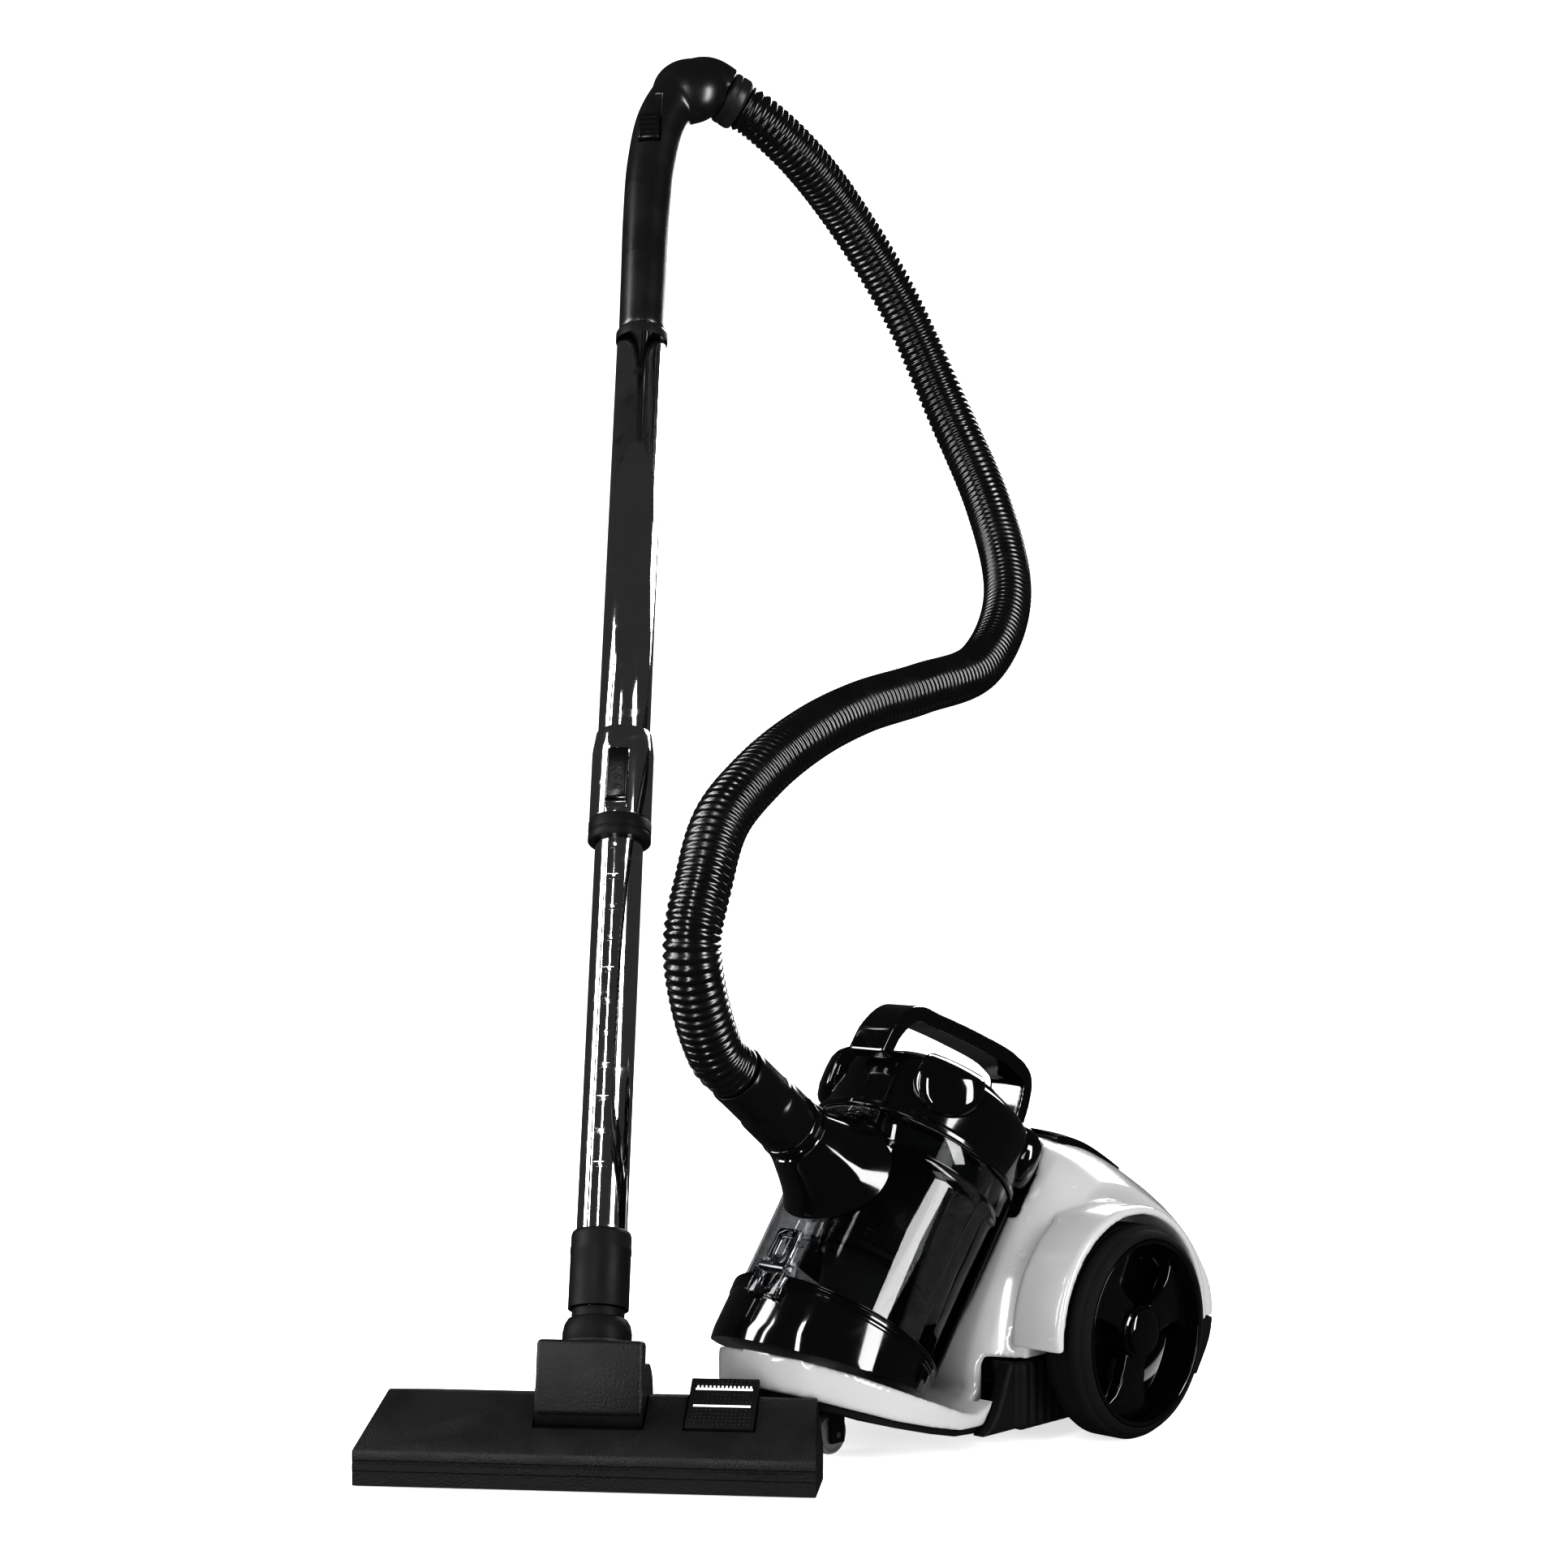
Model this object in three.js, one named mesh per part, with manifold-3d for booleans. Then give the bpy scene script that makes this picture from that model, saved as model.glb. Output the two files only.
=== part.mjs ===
// A bagless canister vacuum cleaner with its hose, telescopic wand and floor tool.
// Millimetres, +Z up, the canister's front faces -Y and its left side is +X.
import * as THREE from "three";
import { mergeVertices } from "three/addons/utils/BufferGeometryUtils.js";
import Module from "manifold-3d";

const wasm = await Module();
wasm.setup();

// ---- driving dimensions ----
const GAP = 0.3; // between touching pieces
const SEG = 24; // facets round a large turned piece
const FINE = 12; // facets round a small one

const WHEEL = { radius: 69, outer: 128, recess: 57, hub: 17 };
const ARCH = { inner: 75, outer: 81, to: 118 };
const AXLE_R = 6;
const BODY = { half: 84, wall: 3 };
const BIN = { lean: THREE.MathUtils.degToRad(37), y: -163, z: 76, radius: 66, wall: 2.5, length: 126 };
const CUP = { radius: 69.5 };
const CAP = { skirt: 71, radius: 69, from: 126.6, side: 163, top: 188, lobe: 27 };
const SEAT = { radius: 72.5 }; // hollow in the body that the bin stands in
const INLET = { z: 83, bore: 16, ringFrom: 106, ringTo: 115, cuffTo: 173, ring: 21.5, cuff: 19 };
const HOSE = { radius: 18, sides: 8, steps: 56 };
const CASTER = { stemY: -185, trail: 16, radius: 13, width: 12, well: 33, roof: 30 };
const CHASSIS = { top: 56, bottom: 12, front: -83, split: 0.4 };
const PEDAL = { from: 22, to: 92, half: 37 };
const GRILLE = { from: 97, half: 34, low: 62 };
const MOTOR = { z: 82, radius: 35, from: -20, to: 46 };
const REEL = { y: 98, z: 66, radius: 44, half: 24 };

const NOZZLE = { half: 140.5, deep: 76, endDeep: 47, front: 22, top: 50, x: -38, y: -345, turn: 36.95 };
const PIVOT = { back: 44, z: 46 }; // wand pivot in the floor tool
const WAND = { lean: 22.8, side: 1.25 }; // degrees back and sideways
const LOWER = { radius: 16, from: 62, to: 470, notch: 145, pitch: 21.5, notches: 11 };
const UPPER = { radius: 17.5, to: 770 };
const COUPLER = { from: 382, to: 446, radius: 20.7 };
const CUFF = { from: 50, to: 105, radius: 19 };
const HANDLE = { from: 745, radius: 16.5 };
const SLIDE = { from: 914, depth: 42 };
const CUFF_END = 16; // length of the cuff at the handle's end of the hose

// ---- helpers: geometry to solid and back ----
function solid(geometry, matrix) {
  const g = geometry.clone();
  for (const name of Object.keys(g.attributes)) if (name !== "position") g.deleteAttribute(name);
  if (matrix) g.applyMatrix4(matrix);
  const m = mergeVertices(g, 1e-3);
  const mesh = new wasm.Mesh({
    numProp: 3,
    vertProperties: m.attributes.position.array,
    triVerts: new Uint32Array(m.index.array),
  });
  return new wasm.Manifold(mesh);
}

function geometryOf(manifold) {
  const m = manifold.getMesh();
  const p = new Float32Array(m.numVert * 3);
  for (let i = 0; i < m.numVert; i++) {
    p.set(m.vertProperties.subarray(i * m.numProp, i * m.numProp + 3), i * 3);
  }
  const g = new THREE.BufferGeometry();
  g.setAttribute("position", new THREE.BufferAttribute(p, 3));
  g.setIndex(new THREE.BufferAttribute(m.triVerts, 1));
  return g;
}

const v2 = (x, y) => new THREE.Vector2(x, y);
const v3 = (x, y, z) => new THREE.Vector3(x, y, z);
const deg = THREE.MathUtils.degToRad;
const move = (x, y, z) => new THREE.Matrix4().makeTranslation(x, y, z);
const turn = (x, y, z) => new THREE.Matrix4().makeRotationFromEuler(new THREE.Euler(x, y, z));
const chain = (...m) => m.reduce((a, b) => a.clone().multiply(b));

// A turned piece round Z; its profile is (radius, height) pairs that close on the axis or on themselves.
function lathe(profile, seg = SEG, matrix) {
  const g = new THREE.LatheGeometry(profile.map(([r, z]) => v2(r, z)), seg);
  const m = new THREE.Matrix4().makeRotationX(Math.PI / 2);
  const s = solid(g, matrix ? chain(matrix, m) : m);
  return s.volume() < 0 ? solid(flip(g), matrix ? chain(matrix, m) : m) : s;
}

function flip(geometry) {
  const g = geometry.index ? geometry.toNonIndexed() : geometry.clone();
  const p = g.attributes.position;
  for (let i = 0; i < p.count; i += 3) {
    const a = v3().fromBufferAttribute(p, i);
    const b = v3().fromBufferAttribute(p, i + 1);
    p.setXYZ(i, b.x, b.y, b.z);
    p.setXYZ(i + 1, a.x, a.y, a.z);
  }
  return g;
}

const disc = (r, z0, z1, seg = SEG, m) => lathe([[0, z0], [r, z0], [r, z1], [0, z1]], seg, m);
const ring = (ri, ro, z0, z1, seg = SEG, m) =>
  lathe([[ri, z0], [ro, z0], [ro, z1], [ri, z1], [ri, z0]], seg, m);

function box(x0, y0, z0, x1, y1, z1, matrix) {
  const m = move((x0 + x1) / 2, (y0 + y1) / 2, (z0 + z1) / 2);
  return solid(new THREE.BoxGeometry(x1 - x0, y1 - y0, z1 - z0), matrix ? chain(matrix, m) : m);
}

// A box with its four upright edges rounded.
function rounded(x0, y0, z0, x1, y1, z1, r, matrix) {
  const s = new THREE.Shape();
  s.moveTo(x0 + r, y0).lineTo(x1 - r, y0).quadraticCurveTo(x1, y0, x1, y0 + r);
  s.lineTo(x1, y1 - r).quadraticCurveTo(x1, y1, x1 - r, y1);
  s.lineTo(x0 + r, y1).quadraticCurveTo(x0, y1, x0, y1 - r);
  s.lineTo(x0, y0 + r).quadraticCurveTo(x0, y0, x0 + r, y0);
  const g = new THREE.ExtrudeGeometry(s, { depth: z1 - z0, bevelEnabled: false, curveSegments: 3 });
  const m = move(0, 0, z0);
  return solid(g, matrix ? chain(matrix, m) : m);
}

// A side outline of (y, z) points drawn through a smooth curve and extruded along X.
function sideShape(points, smooth = true, samples = 40) {
  const list = points.map(([y, z]) => v2(y, z));
  return new THREE.Shape(smooth ? new THREE.SplineCurve(list).getPoints(samples) : list);
}

const YZ = new THREE.Matrix4().set(0, 0, 1, 0, 1, 0, 0, 0, 0, 1, 0, 0, 0, 0, 0, 1);

function sideExtrude(shape, x0, x1, steps = 1, shapeIt) {
  const g = new THREE.ExtrudeGeometry(shape, { depth: x1 - x0, steps, bevelEnabled: false,
    curveSegments: 8 });
  g.applyMatrix4(chain(move(x0, 0, 0), YZ));
  if (shapeIt) {
    const p = g.attributes.position;
    for (let i = 0; i < p.count; i++) {
      const q = shapeIt(p.getX(i), p.getY(i), p.getZ(i));
      p.setXYZ(i, q[0], q[1], q[2]);
    }
  }
  return solid(g);
}

// A round bar swept along a curve.
function sweep(points, radius, sides, steps, type = "centripetal") {
  const path = new THREE.CatmullRomCurve3(points.map((p) => v3(...p)), false, type);
  const section = new THREE.Shape();
  for (let i = 0; i < sides; i++) {
    const a = (2 * Math.PI * i) / sides;
    if (i) section.lineTo(radius * Math.cos(a), radius * Math.sin(a));
    else section.moveTo(radius, 0);
  }
  return solid(new THREE.ExtrudeGeometry(section, { steps, extrudePath: path, bevelEnabled: false }));
}

const root = new THREE.Group();
const LOOK = {
  white: { color: 0xf2f2f2, roughness: 0.22, metalness: 0 },
  gloss: { color: 0x0c0c0d, roughness: 0.15, metalness: 0 },
  black: { color: 0x1b1b1c, roughness: 0.55, metalness: 0 },
  rubber: { color: 0x161616, roughness: 0.85, metalness: 0 },
  chrome: { color: 0xd8dadc, roughness: 0.08, metalness: 1 },
  smoke: { color: 0x3a3d40, roughness: 0.06, metalness: 0, transparent: true, opacity: 0.4 },
  clear: { color: 0x9a9da0, roughness: 0.08, metalness: 0, transparent: true, opacity: 0.5 },
  grey: { color: 0x7d8084, roughness: 0.5, metalness: 0 },
  steel: { color: 0xa8a8aa, roughness: 0.3, metalness: 1 },
  copper: { color: 0x9c5a30, roughness: 0.4, metalness: 0.8 },
  foam: { color: 0x2b3138, roughness: 0.95, metalness: 0 },
};

function part(name, look, manifold, parent = root) {
  const mesh = new THREE.Mesh(geometryOf(manifold), new THREE.MeshStandardMaterial(LOOK[look]));
  mesh.name = name;
  parent.add(mesh);
  return mesh;
}

// Local frames: the bin's axis is local Z and its front is local -Y.
const BIN_FRAME = chain(move(0, BIN.y, BIN.z), turn(-BIN.lean, 0, 0));
const FRONT = new THREE.Matrix4().makeRotationX(Math.PI / 2); // local Z turned to -Y
const SIDE = new THREE.Matrix4().makeRotationY(Math.PI / 2); // local Z turned to +X

// ---- canister body ----
// Side outline of the rear dome, from the saddle's foot over the top and down the back.
const DOME = [
  [-93, 20], [-96, 46], [-84, 92], [-62, 130], [-36, 165], [-6, 186], [38, 183], [80, 164], [119, 141],
  [145, 117], [165, 84], [164, 50], [142, 18],
];
const domeNarrow = (x, y, z) => {
  const k = Math.min(1, Math.abs(x) / BODY.half);
  const s = 1 - 0.17 * k ** 2.6;
  return [x, 30 + (y - 30) * s, 20 + (z - 20) * s];
};

function dome(inset) {
  const c = new THREE.SplineCurve(DOME.map(([y, z]) => v2(y, z))).getPoints(24);
  const mid = v2(35, 80);
  const pts = c.map((p) => {
    const d = p.clone().sub(mid);
    return p.clone().sub(d.clone().setLength(inset));
  });
  const shape = new THREE.Shape(pts);
  return sideExtrude(shape, -BODY.half + inset, BODY.half - inset, 8, domeNarrow);
}

// The low tongue under the bin, rounded in plan.
function tongue(inset) {
  const plan = new THREE.Shape();
  plan.moveTo(78 - inset, -60).lineTo(76 - inset, -130);
  plan.bezierCurveTo(70 - inset, -190, 44, -230 + inset, 0, -234 + inset);
  plan.bezierCurveTo(-44, -230 + inset, -70 + inset, -190, -76 + inset, -130);
  plan.lineTo(-78 + inset, -60);
  const column = solid(
    new THREE.ExtrudeGeometry(plan, { depth: 200, bevelEnabled: false, curveSegments: 10 }), move(0, 0,
      0));
  const band = sideShape(
    [[-244, 55], [-205, 41], [-176, 31], [-150, 24], [-128, 19], [-108, 18], [-60, 20],
      [-60, 60], [-98, 30], [-110, 27], [-122, 29], [-160, 44], [-200, 61], [-240, 77]], false);
  return column.intersect(sideExtrude(band, -90, 90));
}

const wheelWell = (r, side) =>
  disc(r, 86, 140, SEG, chain(move(0, 0, WHEEL.radius), turn(0, (side * Math.PI) / 2, 0)));

function wheelArch(side) {
  const m = chain(move(0, 0, WHEEL.radius), turn(0, (side * Math.PI) / 2, 0));
  const hoop = ring(ARCH.inner, ARCH.outer, 78, ARCH.to, SEG, m);
  const low = box(-200, -200, -50, 200, 200, WHEEL.radius - 4);
  const back = box(-200, 60, -50, 200, 200, 300, chain(turn(deg(-22), 0, 0)));
  return hoop.subtract(low).subtract(back);
}

const seat = (r, z0 = -60) => disc(r, z0, 400, SEG, BIN_FRAME);
// The cup's foot is flat and slopes with the tongue; this is all that lies under it.
const UNDER_CUP = new THREE.Matrix4().copy(move(0, -177, 55.5)).multiply(turn(deg(-22.4), 0, 0));
const underCup = (drop) => box(-160, -260, -200, 160, 200, -drop, UNDER_CUP);

const across = (x, y, z, side = 1) => chain(move(x, y, z), turn(0, (side * Math.PI) / 2, 0));
const chassisZone = (gap) =>
  box(-200, CHASSIS.front + gap, -20, 200, 300, CHASSIS.top - gap);
const pedalZone = (grow) =>
  box(-PEDAL.half - grow, PEDAL.from - grow, 100, PEDAL.half + grow, PEDAL.to + grow, 300);
const grilleZone = (grow) =>
  box(-GRILLE.half - grow, GRILLE.from - grow, GRILLE.low - grow, GRILLE.half + grow, 300, 300);
const capClearance = () => disc(CAP.radius + 8.5, CAP.from - 3, 400, SEG, BIN_FRAME);
const skin = () => dome(0).subtract(dome(BODY.wall));

function bodyShell() {
  const inside = dome(BODY.wall).subtract(seat(SEAT.radius + 3, -20));
  let s = dome(0).add(tongue(0)).add(wheelArch(1)).add(wheelArch(-1));
  s = s.subtract(inside.subtract(box(-100, -140, -20, 100, CHASSIS.front, 60)));
  s = s.subtract(seat(SEAT.radius).subtract(underCup(2.5))).subtract(capClearance());
  s = s.subtract(chassisZone(0));
  for (const side of [-1, 1]) {
    s = s.subtract(wheelWell(ARCH.inner, side));
    s = s.subtract(disc(AXLE_R + GAP, 60, 100, FINE, across(0, 0, WHEEL.radius, side)));
  }
  s = s.subtract(pedalZone(0.8)).subtract(grilleZone(0.5));
  return s.subtract(disc(CASTER.well, -10, CASTER.roof, FINE, move(0, CASTER.stemY, 0)))
    .subtract(disc(5.4, 0, 44, FINE, move(0, CASTER.stemY, 0)));
}

// Corrugated duct skirt on each flank of the black chassis, between tongue and wheel.
function ribs(side) {
  let s = box(side * 80 - 4, CHASSIS.front + 6, CHASSIS.bottom, side * 80 + 4, -6, CHASSIS.top - 0.5);
  for (let y = CHASSIS.front + 9; y < -8; y += 8.5) {
    s = s.add(disc(5, CHASSIS.bottom + 1, CHASSIS.top - 1, 12, move(side * 81.5, y, 0)));
  }
  return s;
}

function lowerChassis() {
  const zone = box(-200, CHASSIS.front + CHASSIS.split, CHASSIS.bottom, 200, 300,
    CHASSIS.top - CHASSIS.split);
  const inside = dome(BODY.wall).intersect(box(-200, -200, CHASSIS.bottom + 3, 200, 300, 300));
  let s = dome(0).intersect(zone).add(ribs(1)).add(ribs(-1)).subtract(inside);
  s = s.subtract(seat(SEAT.radius + GAP, -20));
  s = s.add(box(-26, MOTOR.from + 8, CHASSIS.bottom + 1, 26, MOTOR.to - 8, CHASSIS.top - 2));
  s = s.subtract(disc(MOTOR.radius + 5, -90, 90, SEG, chain(move(0, 0, MOTOR.z), FRONT)));
  s = s.add(box(-34, REEL.y - 12, CHASSIS.bottom + 1, -REEL.half - 4, REEL.y + 12, REEL.z + 10));
  s = s.subtract(disc(4.4, -60, 60, FINE, across(0, REEL.y, REEL.z)));
  return s.subtract(disc(7.3, 120, 200, FINE, chain(move(46, 0, 36), turn(-Math.PI / 2, 0, 0))));
}

// Black under-plate that follows the white tongue's belly and carries the caster.
function tonguePlate() {
  const plan = new THREE.Shape();
  plan.moveTo(74, CHASSIS.front - 1).lineTo(73, -130);
  plan.bezierCurveTo(67, -187, 42, -225, 0, -229);
  plan.bezierCurveTo(-42, -225, -67, -187, -73, -130);
  plan.lineTo(-74, CHASSIS.front - 1);
  const column = solid(new THREE.ExtrudeGeometry(plan, { depth: 90, bevelEnabled: false,
    curveSegments: 10 }));
  const belly = [[-244, 55], [-205, 41], [-176, 31], [-150, 24], [-128, 19], [-108, 18], [-60, 20]];
  const low = belly.map(([y, z]) => [y, z - 4.3]).reverse();
  const high = belly.map(([y, z]) => [y, z - GAP]);
  const s = column.intersect(sideExtrude(sideShape([...high, ...low], false), -90, 90));
  return s.subtract(disc(CASTER.well, -10, 60, FINE, move(0, CASTER.stemY, 0)));
}

// ---- wheels and caster ----
function wheel(side) {
  const m = across(0, 0, WHEEL.radius, side);
  const name = side > 0 ? "left" : "right";
  const r = WHEEL.radius;
  const rim = WHEEL.recess;
  const tread = [[rim + 3.3, 94], [r - 4, 94], [r, 99], [r, 117], [r - 3, 122.5], [r - 6, 124]];
  part(`tyre_${name}`, "rubber", lathe([...tread, [r - 8, WHEEL.outer], [rim + 3.3, WHEEL.outer],
    [rim + 3.3, 94]], SEG, m));
  let hub = ring(rim, rim + 3, 94.5, 127, SEG, m).add(ring(8, rim + 1, 98, 101, SEG, m));
  hub = hub.add(ring(AXLE_R + 0.4, WHEEL.hub, 96, 122.5, FINE, m));
  for (let i = 0; i < 3; i++) {
    const spoke = box(-7.5, 14, 110, 7.5, rim + 1, 119, chain(m, turn(0, 0,
      (i * 2 * Math.PI) / 3 + 0.35)));
    hub = hub.add(spoke);
  }
  part(`wheel_hub_${name}`, "gloss", hub.subtract(disc(AXLE_R + 0.4, 80, 130, FINE, m)));
  part(`hub_cap_${name}`, "gloss", lathe([[0, 122.8], [15.5, 122.8], [15.5, 126], [11, 130], [5, 131.6],
    [0, 132]], FINE, m));
  part(`axle_${name}`, "steel", lathe([[0, 72], [9, 72], [9, 80.6], [AXLE_R, 80.6], [AXLE_R, 122],
    [0, 122]], FINE, m));
}

function caster() {
  const y = CASTER.stemY + CASTER.trail;
  const z = CASTER.radius;
  const stem = disc(5, CASTER.roof - 2, 43, FINE, move(0, CASTER.stemY, 0));
  let fork = rounded(-11, CASTER.stemY - 12, 27, 11, y + 9, CASTER.roof - GAP - 0.4, 5).add(stem);
  for (const side of [-1, 1]) {
    fork = fork.add(box(side * 8.9 - 1.6, y - 5, 8, side * 8.9 + 1.6, y + 6, 28));
  }
  fork = fork.subtract(disc(2.3, -20, 20, 12, across(0, y, z)));
  part("caster_fork", "black", fork);
  const half = CASTER.width / 2;
  part("caster_wheel", "grey", lathe([[2.5, -half], [z - 1.5, -half], [z, -half + 1.5], [z, half - 1.5],
    [z - 1.5, half], [2.5, half], [2.5, -half]], FINE, across(0, y, z)));
  part("caster_pin", "steel", disc(2, -10.4, 10.4, 12, across(0, y, z)));
}

// ---- inside the body ----
function insides() {
  const m = chain(move(0, 0, MOTOR.z), turn(-Math.PI / 2, 0, 0)); // local Z runs to the rear
  const { radius: r, from, to } = MOTOR;
  part("motor", "steel", lathe([[0, from], [r, from], [r, from + 26], [r - 6, from + 30],
    [r - 6, to - 10], [r - 14, to - 4], [r - 14, to], [0, to]], SEG, m)
      .subtract(disc(4.3, from - 1, from + 20, 12, m)));
  part("motor_mount", "rubber", ring(r + GAP, r + 4, -12, 2, SEG, m));
  part("fan_impeller", "grey", lathe([[0, from - 11], [12, from - 11], [r - 5, from - 6], [r - 5,
    from - 2],
    [4, from - 2], [4, from + 16], [0, from + 16]], FINE, m));
  const reel = across(0, REEL.y, REEL.z);
  const h = REEL.half;
  part("cord_reel", "grey", lathe([[4.7, -h], [REEL.radius, -h], [REEL.radius, -h + 2.5], [26, -h + 2.5],
    [26, h - 2.5], [REEL.radius, h - 2.5], [REEL.radius, h], [4.7, h], [4.7, -h]], SEG, reel));
  part("reel_axle", "steel", disc(4, -33.5, h + 5, 16, reel));
  part("exhaust_filter", "foam", box(-34, 56, 122, 34, 96, 134));
  part("cord_outlet", "black", ring(3.6, 7, 146, 160, FINE, chain(move(46, 0, 36), turn(-Math.PI / 2,
    0, 0))));
}

function pedalsAndCover() {
  const lid = skin().intersect(pedalZone(0));
  part("power_pedal", "gloss", lid.intersect(box(0.5, 0, 0, 90, 200, 300)));
  part("rewind_pedal", "gloss", lid.intersect(box(-90, 0, 0, -0.5, 200, 300)));
  let cover = skin().intersect(grilleZone(0));
  for (let i = 0; i < 6; i++) {
    cover = cover.subtract(box(-26, 60, 76 + 9 * i, 26, 220, 80 + 9 * i));
  }
  part("exhaust_cover", "black", cover);
}

// ---- dust bin, in its own leaning frame: local Z up the bin, local -Y its front ----
const inletFrame = (phi = 0) => chain(BIN_FRAME, move(0, 0, INLET.z), turn(0, 0, phi), FRONT);

function bin() {
  const R = BIN.radius;
  const w = BIN.wall;
  const outline = [[R, 1.3], [R + 1.2, 100], [R + 2.6, 104], [R + 2.6, BIN.length], [R - w + 2,
    BIN.length],
    [R - w + 2, 104], [R - w + 0.8, 98], [R - w, 1.3], [R, 1.3]];
  part("bin_shell", "smoke", lathe(outline, SEG, BIN_FRAME)
    .subtract(disc(INLET.bore + 5, 0, 90, FINE, inletFrame())));
  part("bin_seal", "rubber", ring(R - 4, R + 1.5, 0, 1, SEG, BIN_FRAME));

  const c = CUP.radius;
  let cup = lathe([[0, -60], [c - 6, -60], [c, -38], [c, -4], [c + 1, -3], [c + 1, -GAP], [0, -GAP]],
    SEG, BIN_FRAME);
  cup = cup.subtract(underCup(0));
  cup = cup.subtract(disc(c - 3.5, -80, 20, SEG, BIN_FRAME).subtract(underCup(-3)));
  part("bin_cup", "gloss", cup);

  const behind = box(-120, 38, -20, 120, 120, 200, BIN_FRAME);
  part("bin_back_frame", "black", ring(R + 3, R + 5, 2, BIN.length - 3, SEG, BIN_FRAME)
    .intersect(behind));

  const mesh = lathe([[29, 52], [31.5, 52], [33, 54], [33, 118], [30.5, 118], [30.5, 56], [29, 52]],
    SEG, BIN_FRAME);
  part("cyclone_shroud", "black", mesh.subtract(disc(12, 0, 60, FINE, inletFrame())
    .subtract(disc(12, 0, 20, FINE, inletFrame()))));
  part("cyclone_cone", "grey", lathe([[12, 2], [14, 2], [28, 51.6], [28, 116], [26, 116], [26, 52],
    [12, 2]], FINE, BIN_FRAME));
  part("shroud_skirt", "black", lathe([[34, 44], [50, 38], [51, 40], [34, 47], [34, 44]], SEG, BIN_FRAME)
    .add(ring(28.8, 36, 44.5, 47, SEG, BIN_FRAME)));
}

function latch() {
  const y = -BIN.radius - 6.2; // the pin's place in front of the bin
  const z = 5.5;
  const bar = chain(BIN_FRAME, move(0, y, z), SIDE);
  part("latch_pin", "steel", disc(1.6, -13.5, 13.5, 12, bar));
  let loop = rounded(-10, y - 2, z, 10, y + 2.2, z + 27, 1.8, BIN_FRAME);
  loop = loop.subtract(rounded(-5.5, y - 5, z + 8, 5.5, y + 8, z + 21.5, 2, BIN_FRAME));
  loop = loop.add(disc(3.4, -10, 10, 12, bar)).subtract(disc(1.9, -20, 20, 12, bar));
  part("latch_loop", "clear", loop);
  let hook = box(-12.8, y - 3, -14, -4.5, y + 2, 1.4, BIN_FRAME);
  hook = hook.add(box(4.5, y - 3, -14, 12.8, y + 2, 1.4, BIN_FRAME));
  hook = hook.add(box(-12.8, y - 1, -14, 12.8, y + 2, -9, BIN_FRAME));
  for (const x of [-11.6, 11.6]) hook = hook.add(box(x - 1.2, y - 3, -2, x + 1.2, y + 2.4, 8.5,
    BIN_FRAME));
  part("latch_hook", "clear", hook.subtract(disc(1.9, -30, 30, 12, bar)));
}

// Moves a finished solid by a matrix.
function placed(s, matrix) {
  return solid(geometryOf(s), matrix);
}

function cap() {
  const { from, side, top, radius: r, skirt } = CAP;
  let s = lathe([[0, from], [skirt, from], [skirt, from + 4], [r, from + 6], [r, side], [r - 4, side + 8],
    [r - 22, top - 6], [r - 44, top - 1], [0, top]], SEG, BIN_FRAME);
  for (const a of [45, 135, 225, 315]) {
    const m = chain(BIN_FRAME, move(0, 0, 157), turn(0, 0, deg(a)), FRONT);
    const lobe = lathe([[0, 36], [CAP.lobe, 36], [CAP.lobe, r], [CAP.lobe - 4, r + 4], [12, r + 6], [0,
      r + 6.5]], FINE, m);
    s = s.add(lobe.intersect(disc(r + 8, from + 6, top - 3, SEG, BIN_FRAME)));
  }
  s = s.subtract(disc(56, from - 1, 160, SEG, BIN_FRAME));
  part("bin_cap", "gloss", s);
  part("lid_filter", "foam", disc(52, from + 1, 152, FINE, BIN_FRAME));
}

const HANDLE_LINE = [[-77, 160], [-76, 180], [-66, 199], [-44, 207], [-5, 219], [38, 229], [56, 227],
  [63, 214], [66, 199], [70, 184]];

function carryHandle() {
  const c = new THREE.SplineCurve(HANDLE_LINE.map(([y, z]) => v2(y, z)));
  const mid = c.getPoints(26);
  const side = (k) => mid.map((p, i) => {
    const t = c.getTangent(i / 26);
    return v2(p.x - t.y * k, p.y + t.x * k);
  });
  const g = new THREE.ExtrudeGeometry(new THREE.Shape([...side(4.75), ...side(-4.75).reverse()]),
    { depth: 30, bevelEnabled: false });
  const m = chain(BIN_FRAME, move(-15, 0, 0), YZ);
  let s = solid(g, m);
  if (s.volume() < 0) s = solid(flip(g), m);
  s = s.subtract(disc(CAP.radius + 0.4, 120, CAP.side + 0.4, SEG, BIN_FRAME));
  const crown = lathe([[0, 160], [CAP.radius + 0.4, 160], [CAP.radius + 0.4, CAP.side],
    [CAP.radius - 3.4, CAP.side + 8.3],
    [CAP.radius - 21.6, CAP.top - 5.6], [CAP.radius - 44, CAP.top - 0.6], [0, CAP.top + 0.4]], SEG,
      BIN_FRAME);
  s = s.subtract(crown).subtract(box(-9.5, 42, 228, 9.5, 68, 260, BIN_FRAME));
  part("carry_handle", "gloss", s);
  part("bin_release_button", "black", box(-9, 42.5, 231.3, 9, 57, 237, BIN_FRAME));
}

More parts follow.
